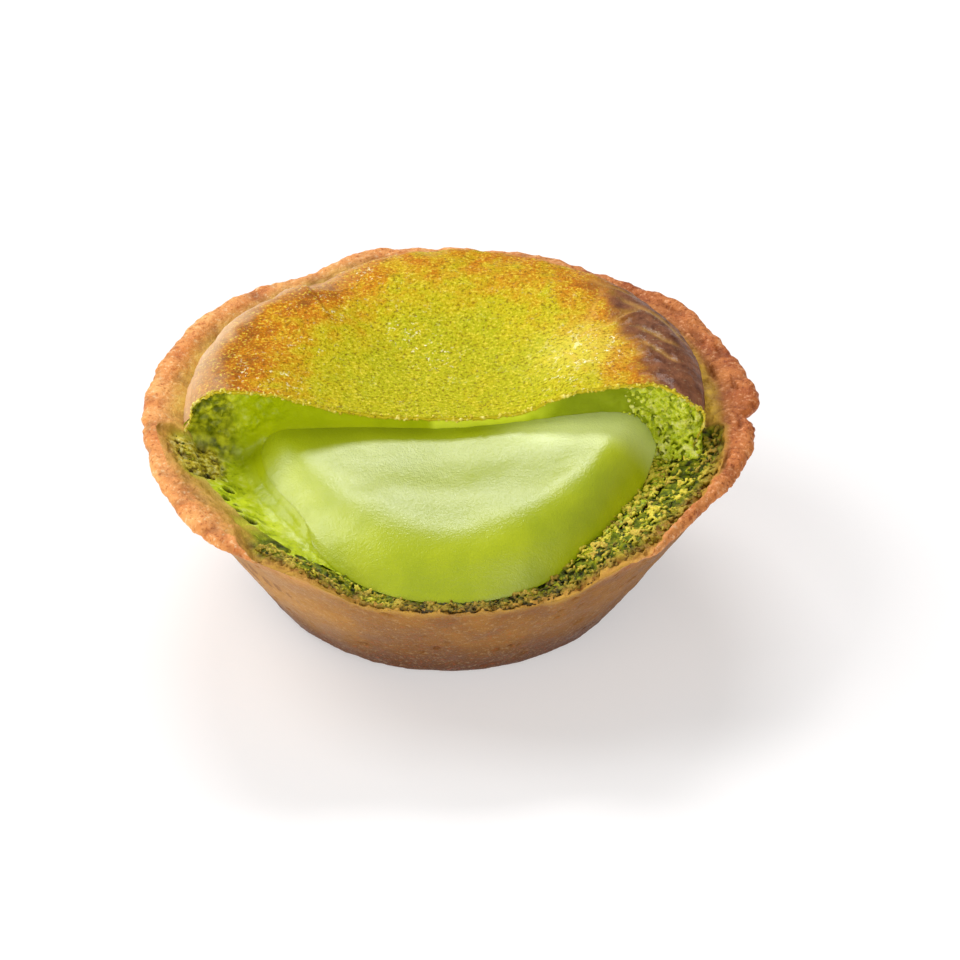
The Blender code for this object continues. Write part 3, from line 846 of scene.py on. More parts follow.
SKIN_COLUMNS = 420
SKIN_TOP_ROWS = 130
SKIN_FRONT_Y = CUT_Y - SKIN_LIP
FLANK_ROWS = 22
SKIN_SPREAD = 1.5 * MM  # how far the skin creeps over the rim at the back left
EDGE_SHARE = 0.975  # of the dome's radius, where the top turns into the flank
# The skin's torn edge seen from the side: (distance behind its upper corner, share of the thickness below it)
LIP_SECTION = ((-0.05 * MM, 0.35), (0.05 * MM, 0.85), (0.5 * MM, 1.0), (SKIN_LIP + 0.6 * MM, 0.7))

# Folds of the skin, seen from above, in millimetres: (from x, y, to x, y, height, half width)
CREASES = (
    (18.0, 17.1, 15.9, 10.2, 0.12, 0.45),
    (22.0, 13.3, 19.2, 10.8, 0.26, 0.45),
    (19.2, 10.8, 14.5, 8.1, 0.18, 0.4),
    (21.4, 12.0, 18.8, 9.6, -0.22, 0.4),
    (19.7, 2.9, 22.0, 3.5, 0.12, 0.3),
    (22.6, 5.9, 24.0, 3.9, 0.14, 0.3),
    (24.0, 3.9, 26.1, 2.6, 0.14, 0.3),
    (22.3, 8.5, 26.1, 5.8, 0.14, 0.35),
    (13.5, 6.5, 14.8, 3.2, 0.12, 0.3),
    (14.8, 3.2, 16.9, 2.6, 0.12, 0.3),
    (20.6, 15.6, 24.2, 12.6, 0.14, 0.4),
    (24.2, 12.6, 27.4, 8.0, 0.14, 0.35),
    (17.0, 19.8, 21.5, 17.6, 0.16, 0.4),
    (-21.5, 19.5, -9.0, 17.2, -0.5, 1.3),
    (-17.4, 19.6, -14.2, 13.0, -0.3, 0.7),
    (-16.0, 18.6, -13.2, 12.4, 0.22, 0.4),
    (-27.0, 10.5, -21.2, 14.0, 0.18, 0.6),
    (-28.4, 8.3, -25.2, 11.9, 0.12, 0.4),
    (-8.6, 24.6, -13.0, 21.0, 0.3, 0.8),
    (-10.0, 21.5, -15.5, 19.5, 0.22, 0.6),
)
CREASES_COLOURED = 13  # the first ones, on the dusky side, are also lighter where they stand up
# Soft swellings: (azimuth in degrees, share of the radius, half width, height)
SWELLINGS = (
    (172.0, 0.86, 2.2 * MM, 0.4 * MM),
    (163.0, 0.9, 1.8 * MM, 0.4 * MM),
    (-165.0, 0.88, 2.4 * MM, 0.35 * MM),
    (-176.0, 0.93, 1.6 * MM, 0.4 * MM),
    (-110.0, 0.8, 3.4 * MM, 0.35 * MM),
    (148.0, 0.9, 2.6 * MM, 0.4 * MM),
)
# Where the skin glitters most, with glossy spots and painted glints, in millimetres: (x, y, half width)
GLITTER = (
    (16.5, 6.0, 4.2),
    (14.5, 1.5, 3.0),
    (-5.0, 13.0, 2.5),
    (-1.5, 9.0, 2.5),
    (-15.0, 14.5, 2.5),
    (-9.0, 23.0, 3.0),
    (-15.5, 7.5, 2.0),
    (-20.0, 1.0, 3.5),
)
GLITTER_LINE = (-17.0, 18.6, -12.6, 11.8, 0.0, 0.6)  # like a row of CREASES


def along_line(points, line):
    """Nearness to a line seen from above: 1 on it, falling over its half width and towards its ends."""
    start, end, width = np.array(line[:2]) * MM, np.array(line[2:4]) * MM, line[5] * MM
    run = end - start
    length = np.hypot(*run)
    reach = points[..., :2] - start
    share = (reach @ run) / length**2
    sideways = (reach[..., 0] * run[1] - reach[..., 1] * run[0]) / length
    sideways = sideways + 0.35 * MM * grain(points, 2.2 * MM, 67)
    return peak(sideways, 0.0, width) * smooth(-0.35, 0.2, share) * smooth(1.35, 0.8, share)


def skin_relief(points):
    """Wrinkles, folds and swellings of the skin, outwards."""
    x, y = plan(points)
    share = np.hypot(x, y) / dome_radius(np.arctan2(x, -y))
    ring = smooth(0.4, 0.75, share)
    relief = 0.14 * MM * rough(points, 3.4 * MM, 2, 61) * (0.35 + 0.65 * ring)
    ridges = 1.0 - abs(grain(points * (1.0, 1.0, 0.6), 1.5 * MM, 63)) * 2.2
    relief += 0.05 * MM * ridges * (0.4 + 0.6 * ring)
    relief += 0.04 * MM * grain(points, 0.6 * MM, 65)
    for line in CREASES:
        relief += line[4] * MM * along_line(points, line)
    for at, distance, width, height in SWELLINGS:
        centre = polar(distance * DOME_RADIUS, math.radians(at))
        relief += height * peak(np.hypot(x - centre[0], y - centre[1]), 0.0, width)
    return relief


def skin_colours(points):
    """What colours the skin: browning, pale left flank with painted sheen, dusky right flank, folds, painted
    glints.
    """
    x, y = plan(points)
    azimuth = np.arctan2(x, -y)
    degrees = away_from(azimuth)
    share = np.hypot(x, y) / dome_radius(azimuth)
    patches = rough(points, 4.5 * MM, 3, 71)
    side = 0.52 + 0.3 * peak(degrees, -98.0, 38.0) + 0.3 * peak(degrees, 98.0, 40.0)
    side += 0.2 * peak(degrees, -140.0, 14.0) * smooth(0.6, 0.8, share)
    browned = smooth(0.3, 0.92, share) * side + 0.1 * patches
    low = smooth(26.6 * MM, 24.2 * MM, points[..., 2] + 0.5 * MM * patches)
    # painted sheen: the left flank is made paler, most of all low down
    pale = (0.5 + 0.5 * low) * smooth(0.85, 0.95, share + 0.05 * patches) * peak(degrees, -112.0, 36.0)
    inner = 0.77 + 0.1 * smooth(110.0, 140.0, degrees)
    window = between(degrees, 70.0, 84.0, 128.0, 146.0)
    crease = sum(along_line(points, line) for line in CREASES[:CREASES_COLOURED] if line[4] > 0)
    glitter = 0.12
    for at_x, at_y, width in GLITTER:
        glitter = glitter + peak(np.hypot(x - at_x * MM, y - at_y * MM), 0.0, width * MM)
    glitter += 1.2 * along_line(points, GLITTER_LINE)
    return {
        "browned": np.clip(browned, 0.0, 1.0),
        "pale": 0.95 * pale,
        "dusky": smooth(inner - 0.055, inner + 0.045, share + 0.04 * patches) * window,
        "crease": np.clip(crease, 0.0, 1.0),
        "glitter": np.clip(glitter, 0.0, 1.0),
        # a pale patch on the right of the top, partly its own colour and partly painted sheen
        "pale_patch_and_sheen": peak(np.hypot(x - 15.0 * MM, y - 6.0 * MM), 0.0, 4.6 * MM),
    }


def skin_surface():
    """The skin's top, fanned out from the middle of its cut edge, and its flank down to the crust."""
    start = np.array((0.0, SKIN_FRONT_Y))
    turn = np.linspace(-math.pi / 2, math.pi / 2, SKIN_COLUMNS)[:, None]
    direction = np.concatenate((np.sin(turn), np.cos(turn)), axis=1)
    along = direction @ start[:, None]
    reach = np.full((SKIN_COLUMNS, 1), DOME_RADIUS)
    for _ in range(5):  # the outline's radius depends on where it is met
        end = start + direction * reach
        wanted = EDGE_SHARE * dome_radius(np.arctan2(end[:, :1], -end[:, 1:]))
        reach = -along + np.sqrt(along**2 - start @ start + wanted**2)
    share = np.linspace(0.0, 1.0, SKIN_TOP_ROWS)
    x, y = plan(start + direction[:, None, :] * (reach * share)[..., None])
    top = spots(x, y, dome_height(x, y))

    azimuth = np.arctan2(x, -y)[:, -1:]
    widest, crest = dome_radius(azimuth), ring_height(azimuth)
    spread = SKIN_SPREAD * peak(away_from(azimuth, -138.0), 0.0, 34.0)
    foot = cavity_radius(DOME_FOOT_Z, azimuth) + spread
    foot_z = DOME_FOOT_Z - 0.1 * MM + 0.45 * spread
    rises = ((0.93, 0.9), (EDGE_SHARE, 0.69), (1.0, 0.45))
    stations = [(widest * part, mix(DOME_CENTRE_Z, crest, rise)) for part, rise in rises]
    stations.append((mix(widest, foot, 0.25), mix(foot_z, crest, 0.24)))
    stations.append((foot - 0.1 * MM, foot_z))
    stations.append((foot - 0.4 * MM, foot_z - 1.1 * MM))
    steps = 24
    curve = through(np.array(stations)[..., 0].transpose(2, 0, 1), 5 * steps + 1)[:, steps:]
    curve[:, 0, 0] = np.hypot(x, y)[:, -1]
    curve[:, 0, 1] = top[:, -1, 2]
    flank = resampled(curve, np.linspace(0.0, 1.0, FLANK_ROWS + 1))[:, 1:]
    return np.concatenate((top, polar(flank[..., 0], azimuth, flank[..., 1])), axis=1)


def bring_edge_forward(points):
    """Makes the cut edge ragged, and brings its right end forward as the cut face's."""
    near = smooth(1.2 * MM, 0.0, points[..., 1] - SKIN_FRONT_Y)
    points[..., 1] -= 0.22 * MM * rough(points * (1.0, 0.0, 0.0), 1.5 * MM, 3, 73) * near
    ahead = (CUT_Y - cut_y(points[..., 0])) * smooth(9.0 * MM, 0.0, points[..., 1] - SKIN_FRONT_Y)
    points[..., 1] -= ahead
    x, y = plan(points)
    lowered = dome_height(x, y) - dome_height(x, y + ahead)
    points[..., 2] += np.where(np.hypot(x, y + ahead) < EDGE_SHARE * DOME_RADIUS, lowered, 0.0)


def make_skin():
    """The browned skin with its torn edge, whose points it returns."""
    surface = skin_surface()
    colours = skin_colours(surface)
    points = surface - grid_normals(surface, False) * skin_relief(surface)[..., None]
    bring_edge_forward(points)

    rows = points.shape[1]
    border = np.concatenate((np.arange(rows)[::-1], (SKIN_COLUMNS - 1) * rows + np.arange(1, rows)))
    points = points.reshape(-1, 3)
    edge = points[border]
    thin = SKIN_THICKNESS * (1.0 + 0.5 * rough(edge, 1.2 * MM, 2, 75))[:, None]
    strips = np.stack([edge + (0.0, back, 0.0) - thin * (0.0, 0.0, share) for back, share in LIP_SECTION])
    numbers = len(points) + np.arange(len(strips) * len(border)).reshape(len(strips), -1)
    lines = np.concatenate((border[None], numbers))
    upper, lower = lines[:-1], lines[1:]
    lip_faces = np.stack((upper[:, :-1], lower[:, :-1], lower[:, 1:], upper[:, 1:]), axis=-1).reshape(-1, 4)
    faces = np.concatenate((grid_faces(SKIN_COLUMNS, rows, False)[:, ::-1], lip_faces))
    lip = np.concatenate((np.zeros(len(points)), np.ones(numbers.size)))
    lip[border] = 0.6
    values = {"lip": lip}
    for key, value in colours.items():
        values[key] = np.concatenate((value.ravel(), np.tile(value.ravel()[border], len(strips))))
    everything = np.concatenate((points, strips.reshape(-1, 3)))
    add_piece("baked_skin", everything, faces, skin_material(), ["set_filling"], values)
    return edge


def make_lip_crumbs(edge):
    """Small bits of skin standing up along its torn edge."""
    random = np.random.default_rng(12)
    steps = np.linalg.norm(np.diff(edge, axis=0), axis=1)
    passed = np.concatenate(((0.0,), np.cumsum(steps)))
    wanted = random.uniform(0.0, passed[-1], LIP_CRUMBS)
    place = np.stack([np.interp(wanted, passed, edge[:, axis]) for axis in range(3)], axis=-1)
    place[:, 1] += random.uniform(-0.1, 0.35, LIP_CRUMBS) * MM
    place[:, 2] += random.uniform(-0.5, 0.02, LIP_CRUMBS) * MM
    size = 0.09 * MM + 0.17 * MM * random.random(LIP_CRUMBS) ** 2
    points, faces = fused(*lumps(place, size, 23), LIP_VOXEL)
    return add_piece("skin_crumbs", points, faces, lip_material(), ["set_filling"])


# --- the soft cheese ------------------------------------------------------------------------------

CORE_COLUMNS = 340
CORE_TOP_ROWS = 100
CORE_LOW_ROWS = 18


def make_soft_cheese():
    azimuth = (np.arange(CORE_COLUMNS) * 2 * math.pi / CORE_COLUMNS)[:, None]
    outline = core_outline(azimuth)
    middle = (CORE_CENTRE_X, 0.0, 0.0)
    share = np.sin(np.linspace(0.02, 1.0, CORE_TOP_ROWS) * math.pi / 2)[::-1]
    x, y = plan(polar(outline * share, azimuth) + middle)
    on_left = left_side(x, y) * smooth(CUT_Y + 2.0 * MM, CUT_Y, y)
    tucked = 0.3 * MM * smooth(0.75 * MM, 0.1 * MM, inside_core(x, y)) - 0.005 * MM
    top = spots(x, y, mix(core_top(x, y), left_surface(x, y) - tucked, on_left))
    share = np.linspace(0.3, 1.0, CORE_LOW_ROWS + 1)[:-1]
    low_z = core_edge_z(azimuth) - CORE_DEPTH * (1.0 - share**2) ** 0.8
    low = polar(outline * share, azimuth, low_z) + middle
    points = np.concatenate((low, top), axis=1)
    points = points + grid_normals(points, True) * soft_relief(points)[..., None]

    columns, rows = points.shape[:2]
    everything = np.vstack((points.reshape(-1, 3), points[:, 0].mean(axis=0), points[:, -1].mean(axis=0)))
    faces = grid_faces(columns, rows, True).tolist()
    faces += fan(columns, rows, 0, columns * rows) + fan(columns, rows, rows - 1, columns * rows + 1)
    x, y = plan(everything)
    values = {
        # painted shade: the soft cheese's top is darker towards its middle
        "middle": smooth(0.95, 0.6, core_share(x, y)),
        # painted highlight: paler near the right of the cut face
        "back": smooth(3.0 * MM, 14.0 * MM, x) * smooth(CUT_Y - 7.0 * MM, CUT_Y - 2.6 * MM, y),
    }
    return add_piece("soft_cheese", everything, faces, soft_material(), ["soft_centre"], values)


# --- crumbs ---------------------------------------------------------------------------------------

# (from azimuth, to azimuth, count, smallest and largest radius)
CRUMB_ZONES = (
    (-85.0, -72.0, 120, 0.1 * MM, 0.2 * MM),
    (-41.0, -22.0, 850, 0.09 * MM, 0.2 * MM),
    (-22.0, 34.0, 2000, 0.1 * MM, 0.24 * MM),
    (34.0, 86.0, 2800, 0.12 * MM, 0.3 * MM),
)
CRUMB_VOXEL = 0.11 * MM
CRUMB_DEPTH = 0.22 * MM  # crumbs are cut off this far below the bitten surface
CHEESE_GRAINS = 1300
GRAIN_VOXEL = 0.1 * MM
LIP_CRUMBS = 900
LIP_VOXEL = 0.08 * MM


def unit_ball():
    """Points and faces of a ball of radius 1."""
    builder = bmesh.new()
    bmesh.ops.create_icosphere(builder, subdivisions=1, radius=1.0)
    points = np.array([vertex.co for vertex in builder.verts])
    faces = np.array([[vertex.index for vertex in face.verts] for face in builder.faces])
    builder.free()
    return points, faces


def lumps(centres, sizes, seed):
    """Points and faces of many uneven lumps, each stretched and turned its own way."""
    random = np.random.default_rng(seed)
    ball, faces = unit_ball()
    count = len(centres)
    frames = np.linalg.qr(random.normal(size=(count, 3, 3)))[0]
    stretch = random.uniform(0.65, 1.25, (count, 1, 3))
    body = ball[None] * stretch
    shift = random.uniform(0.0, 90.0, (count, 1, 3))
    uneven = 1.0 + 0.42 * grain(body * 1.3 + shift, 1.0, seed)
    body = np.einsum("nij,nkj->nki", frames, body * uneven[..., None])
    points = centres[:, None, :] + body * sizes[:, None, None]
    every_face = faces[None] + (np.arange(count) * len(ball))[:, None, None]
    return points.reshape(-1, 3), every_face.reshape(-1, 3)


def fused(points, faces, voxel):
    """The outer surface of many overlapping lumps, as points and small even faces."""
    mesh_data = bpy.data.meshes.new("lumps")
    mesh_data.from_pydata(points.tolist(), [], faces.tolist())
    body = put_in_scene("lumps", mesh_data)
    remesh = body.modifiers.new("fuse", "REMESH")
    remesh.mode = "VOXEL"
    remesh.voxel_size = voxel
    graph = bpy.context.evaluated_depsgraph_get()
    skin = bpy.data.meshes.new_from_object(body.evaluated_get(graph))
    result = np.array([vertex.co for vertex in skin.vertices])
    result_faces = np.array([list(face.vertices) for face in skin.polygons])
    bpy.data.objects.remove(body)
    bpy.data.meshes.remove(skin)
    return result, result_faces


def kept(points, faces, wanted):
    """The faces with a wanted point, and their points."""
    faces = faces[wanted[faces].any(axis=1)]
    used = np.unique(faces)
    number = np.zeros(len(points), int)
    number[used] = np.arange(len(used))
    return points[used], number[faces]


def crumb_edges(azimuth):
    """The crumb's inner edge, at the soft cheese or further out on the left, and its outer edge."""
    left = smooth(-16.0, -40.0, away_from(azimuth))
    inner = mix(core_outline(azimuth) - 0.1 * MM, 29.6 * MM, left)
    at_wall = wall_radius(broken_edge_z(azimuth)) - mix(0.45, 0.9, left) * MM
    return inner, np.minimum(at_wall, bite_radius(azimuth) + mix(0.2, -0.6, left) * MM)


def make_crumbs():
    """The torn crumb of the crust, all along the bite."""
    random = np.random.default_rng(5)
    places, sizes = [], []
    for start, end, count, smallest, largest in CRUMB_ZONES:
        azimuth = np.radians(random.uniform(start, end, count))
        radius = mix(*crumb_edges(azimuth), random.random(count))
        places.append(polar(radius, azimuth))
        sizes.append(smallest + (largest - smallest) * random.random(count) ** 1.6)
    place, size = np.concatenate(places), np.concatenate(sizes)
    clumps = 0.26 * MM * rough(place, 2.2 * MM, 2, 91)
    x, y = plan(place)
    place[:, 2] = bite_height(x, y) + clumps + random.uniform(-1.1, 0.9, len(size)) * size
    clear = place[:, 2] < rim_top(np.hypot(x, y), np.arctan2(x, -y)) - 0.2 * MM
    points, faces = fused(*lumps(place[clear], size[clear], 17), CRUMB_VOXEL)
    points = points + 0.1 * MM * np.stack([grain(points, 0.34 * MM, seed) for seed in (95, 97, 99)], axis=-1)
    shown = points[:, 2] - bite_height(*plan(points), 0.0) > -CRUMB_DEPTH
    points, faces = kept(points, faces, shown)
    x, y = plan(points)
    azimuth = np.arctan2(x, -y)
    inner, outer = crumb_edges(azimuth)
    raised = points[:, 2] - bite_height(x, y, 0.0)
    values = {
        "outward": (np.hypot(x, y) - inner) / (outer - inner),
        # the colour turns this height into painted shade low down and painted light up high
        "raised": np.clip(raised / (0.9 * MM) + 0.5, 0.0, 1.0),
        "in_front": between(away_from(azimuth), -18.0, -7.0, 24.0, 40.0),
    }
    return add_piece("crumbs", points, faces, crumb_material(), ["tart_shell"], values)


def make_cheese_grains():
    """Loose grains of set cheese in the right corner of the cut face."""
    random = np.random.default_rng(8)
    x = random.uniform(20.0, 28.7, CHEESE_GRAINS) * MM
    top = dome_height(x, cut_y(x)) - 0.4 * MM
    low = bite_height(x, cut_y(x) - CUT_CORNER)
    share = random.random(CHEESE_GRAINS)
    z = mix(low, top, share)
    forward = CUT_CORNER * smooth(0.5, 0.0, share) ** 1.5
    y = face_y(x, z) - forward - random.uniform(-0.3, 0.3, CHEESE_GRAINS) * MM
    crowding = smooth(19.0 * MM, 24.0 * MM, x) + 0.5 * smooth(1.6 * MM, 0.4 * MM, top - z)
    place = spots(x, y, z)[random.random(CHEESE_GRAINS) <= crowding]
    size = 0.12 * MM + 0.24 * MM * random.random(len(place)) ** 2
    points, faces = fused(*lumps(place, size, 19), GRAIN_VOXEL)
    return add_piece("cheese_grains", points, faces, grain_material(), ["set_filling"])


# --- materials ------------------------------------------------------------------------------------
# Colours are 0 to 255 in sRGB. Sizes of noise and heights of bumps are in millimetres.


def linear(colour):
    """A colour as the renderer's linear values."""
    values = np.array(colour) / 255.0
    return (*np.where(values <= 0.04045, values / 12.92, ((values + 0.055) / 1.055) ** 2.4).tolist(), 1.0)


def translucent(weight, depth):
    """Settings of cheese that light enters, by how much of it and how deep in millimetres."""
    radius = (1.0, 1.0, 0.3)
    return {"Subsurface_Weight": weight, "Subsurface_Scale": depth * MM, "Subsurface_Radius": radius}


class Look:
    """A material being put together from nodes around one Principled shader."""

    def __init__(self, name, **settings):
        self.material = bpy.data.materials.new(name)
        self.material.use_nodes = True
        self.tree = self.material.node_tree
        self.shader = self.tree.nodes["Principled BSDF"]
        for key, value in settings.items():
            self.shader.inputs[key.replace("_", " ")].default_value = value
        self.place = self.tree.nodes.new("ShaderNodeTexCoord").outputs["Object"]

    def node(self, kind, inputs, **properties):
        """A node. Its inputs are sockets, numbers, colours or the names of the mesh's attributes."""
        made = self.tree.nodes.new(kind)
        for key, value in properties.items():
            setattr(made, key, value)
        for key, value in inputs.items():
            if isinstance(value, str):
                value = self.node("ShaderNodeAttribute", {}, attribute_name=value).outputs["Fac"]
            if isinstance(value, bpy.types.NodeSocket):
                self.tree.links.new(value, made.inputs[key])
            else:
                made.inputs[key].default_value = linear(value) if isinstance(value, tuple) else value
        return made

    def noise(self, size, detail=3.0, roughness=0.55):
        inputs = {"Vector": self.place, "Scale": 1.0 / (size * MM), "Detail": detail, "Roughness": roughness}
        return self.node("ShaderNodeTexNoise", inputs).outputs["Fac"]

    def ramp(self, factor, *stops):
        made = self.node("ShaderNodeValToRGB", {"Fac": factor})
        elements = made.color_ramp.elements
        while len(elements) < len(stops):
            elements.new(0.5)
        for element, (position, colour) in zip(elements, stops):
            element.position = position
            element.color = linear(colour)
        return made.outputs["Color"]

    def span(self, factor, low, high, to_low=0.0, to_high=1.0):
        inputs = {"Value": factor, "From Min": low, "From Max": high, "To Min": to_low, "To Max": to_high}
        return self.node("ShaderNodeMapRange", inputs, interpolation_type="SMOOTHSTEP").outputs["Result"]

    def maths(self, operation, first, second):
        return self.node("ShaderNodeMath", {0: first, 1: second}, operation=operation).outputs["Value"]

    def times(self, first, second):
        return self.maths("MULTIPLY", first, second)

    def blend(self, factor, below, above):
        """One colour over another."""
        return self.node("ShaderNodeMix", {0: factor, 6: below, 7: above}, data_type="RGBA").outputs[2]

    def flecks(self, where, colour, noise, *kinds):
        """Flecks over a colour, each kind by the noise where it starts and is full, its strength and tone."""
        for start, full, strength, fleck in kinds:
            amount = self.times(self.span(noise, start, full), strength)
            colour = self.blend(self.times(where, amount), colour, fleck)
        return colour

    def sponge(self, dark, middle, hole_shade):
        """Pale curls of browned sponge, with painted shade in its holes."""
        curls = self.ramp(self.noise(0.7), (0.34, dark), (0.5, middle), (0.66, (255, 246, 150)))
        return self.blend("hollow_shade", curls, hole_shade)

    def bump(self, height, distance, after=None):
        inputs = {"Height": height, "Distance": distance * MM, "Strength": 1.0}
        if after is not None:
            inputs["Normal"] = after
        return self.node("ShaderNodeBump", inputs).outputs["Normal"]

    def finish(self, **sockets):
        """Joins sockets to the shader's inputs of these names."""
        for key, socket in sockets.items():
            self.tree.links.new(socket, self.shader.inputs[key.replace("_", " ")])
        return self.material


CHEESE_LIGHT = (214, 228, 44)
CHEESE_DEEP = (178, 194, 10)
SOFT_RAMP = ((0.3, (167, 182, 2)), (0.7, (187, 199, 8)))
# Crumb tones; the darkest is also painted shade in pits and gaps, the lightest painted light on crumb tips
CRUMB_LIGHT = (240, 222, 80)
CRUMB_YELLOW = (172, 168, 18)
CRUMB_GREEN = (100, 114, 0)
CRUMB_DARK = (34, 32, 0)
CRUMB_BROWN = (122, 80, 18)


def crust_colour(look, mottle):
    """Baked crust: a brown wall with painted light on its left side, and a sandy rim that is darker on its
    right.
    """
    speckle = look.noise(0.55, 3.0, 0.65)
    wall = look.ramp(mottle, (0.32, (132, 83, 24)), (0.68, (164, 112, 44)))
    # painted light on the left side of the wall
    wall = look.blend(look.times("painted_light_wall", 0.55), wall, (214, 160, 88))
    # painted shade towards the foot of the wall
    wall = look.blend(look.times("low", 0.95), wall, (84, 40, 3))
    rim = look.ramp(mottle, (0.32, (226, 134, 62)), (0.68, (252, 184, 110)))
    dark_rim = look.ramp(mottle, (0.32, (176, 87, 33)), (0.68, (224, 140, 76)))
    colour = look.blend("baked", wall, look.blend("dark_side", rim, dark_rim))
    dark_specks = look.blend("dark_side", (184, 92, 40), (134, 56, 22))
    light_specks = look.blend("dark_side", (255, 214, 160), (246, 178, 126))
    lighter = look.span("baked", 0.0, 1.0, 0.5, 1.0)
    specks = (0.54, 0.68, 1.0, dark_specks), (0.46, 0.32, lighter, light_specks)
    colour = look.flecks(look.span("baked", 0.0, 1.0, 0.35, 0.75), colour, speckle, *specks)
    patchy = look.span(look.noise(2.4), 0.25, 0.6, 0.35, 1.0)
    stain = look.blend("dark_side", (230, 200, 96), (246, 200, 66))
    colour = look.blend(look.times("stained", patchy), colour, stain)
    colour = look.blend(look.times("near_break", patchy), colour, (196, 148, 56))
    # painted shade in the pocks and bubbles
    return look.blend(look.times("hollow_shade", 0.5), colour, (110, 54, 20)), speckle


def torn_crust_colour(look):
    """The crust's torn crumb: dark green, paler and smoother on the left, and browned at its outer edge."""
    crumb = look.ramp(look.noise(0.9), (0.34, CRUMB_DARK), (0.5, CRUMB_GREEN), (0.7, CRUMB_YELLOW))
    # painted shade in the crumb's pits
    crumb = look.blend("hollow_shade", crumb, CRUMB_DARK)
    left = look.ramp(look.noise(2.2), (0.34, CHEESE_DEEP), (0.66, CHEESE_LIGHT))
    left = look.blend("spongy", left, look.sponge((106, 86, 14), (222, 198, 54), (66, 52, 12)))
    crumb = look.blend("smooth_left", crumb, left)
    browned = look.ramp(look.noise(0.8), (0.34, (150, 96, 30)), (0.66, (214, 164, 66)))
    return look.blend("brown_edge", crumb, browned)


def crust_material():
    look = Look("baked_crust", Roughness=0.55, Specular_IOR_Level=0.22)
    mottle = look.noise(4.5, 4.0)
    colour, speckle = crust_colour(look, mottle)
    return look.finish(
        Base_Color=look.blend("torn", colour, torn_crust_colour(look)),
        Roughness=look.span(mottle, 0.3, 0.7, 0.42, 0.66),
        Normal=look.bump(look.noise(0.24, 2.0, 0.6), 0.12, look.bump(speckle, 0.2)),
    )


def cheese_material():
    settings = translucent(0.35, 1.4)
    look = Look("set_matcha_cheese", Roughness=0.38, Specular_IOR_Level=0.22, Coat_Roughness=0.26, **settings)
    shade = look.noise(3.0)
    surface = look.ramp(shade, (0.34, CHEESE_DEEP), (0.66, CHEESE_LIGHT))
    # painted light: a lighter copy of the cheese's colour for the cut face under the skin
    wall = look.ramp(shade, (0.3, (232, 246, 44)), (0.7, (246, 254, 84)))
    surface = look.blend("wall", surface, wall)
    surface = look.blend(look.times("shaded", 0.75), surface, (116, 132, 4))
    patches = (0.52, 0.66, 0.5, (236, 240, 140)), (0.49, 0.36, 0.65, (112, 132, 2))
    surface = look.flecks("mottled", surface, look.noise(1.3, 4.0, 0.65), *patches)
    torn = look.ramp(look.noise(1.0), (0.32, (138, 158, 6)), (0.5, (192, 208, 36)), (0.7, (232, 236, 104)))
    colour = look.blend("torn", surface, torn)
    corner = look.ramp(look.noise(1.2, 4.0), (0.36, (98, 108, 0)), (0.64, (204, 208, 40)))
    colour = look.blend("corner", colour, corner)
    # painted shade in the pits
    colour = look.blend("hollow_shade", colour, (104, 118, 6))
    # painted shade inside the bubbles
    colour = look.blend(look.times("bubble", 0.92), colour, (52, 60, 2))
    edge = look.times("soft", look.span("soft", 1.0, 0.55))
    flecks = (0.52, 0.66, 0.45, (226, 232, 130)), (0.48, 0.34, 0.5, (116, 136, 2))
    soft = look.flecks(edge, look.ramp(look.noise(6.0, 2.0), *SOFT_RAMP), look.noise(0.7, 4.0, 0.65), *flecks)
    colour = look.blend("soft", colour, soft)
    return look.finish(
        Base_Color=look.blend("spongy", colour, look.sponge((106, 88, 14), (206, 188, 52), (66, 52, 8))),
        Coat_Weight=look.times("soft", 0.2),
        Roughness=look.span("soft", 0.0, 1.0, 0.42, 0.3),
        Normal=look.bump(look.noise(0.4, 2.0), 0.05),
    )


def crumb_look(look, size, stops, bump_size, bump_height):
    """Small bits of one mottled colour, with a fine relief."""
    colour = look.ramp(look.noise(size), *stops)
    return look.finish(Base_Color=colour, Normal=look.bump(look.noise(bump_size, 2.0), bump_height))


def grain_material():
    look = Look("matcha_cheese_grains", Roughness=0.4, Specular_IOR_Level=0.4, **translucent(0.6, 1.2))
    stops = (0.3, (158, 176, 6)), (0.5, (204, 216, 40)), (0.7, (246, 246, 140))
    return crumb_look(look, 0.9, stops, 0.22, 0.06)


def lip_material():
    look = Look("torn_skin_crumbs", Roughness=0.5, Specular_IOR_Level=0.35)
    stops = (0.34, (176, 152, 8)), (0.5, (222, 202, 44)), (0.68, (250, 238, 140))
    return crumb_look(look, 0.7, stops, 0.2, 0.05)


# Tones of the skin, from the barely baked middle to the darkest ring
BAKING = (
    (0.0, (186, 184, 4)),
    (0.25, (202, 186, 4)),
    (0.45, (208, 160, 4)),
    (0.65, (206, 126, 0)),
    (0.82, (176, 98, 6)),
    (1.0, (130, 76, 30)),
)


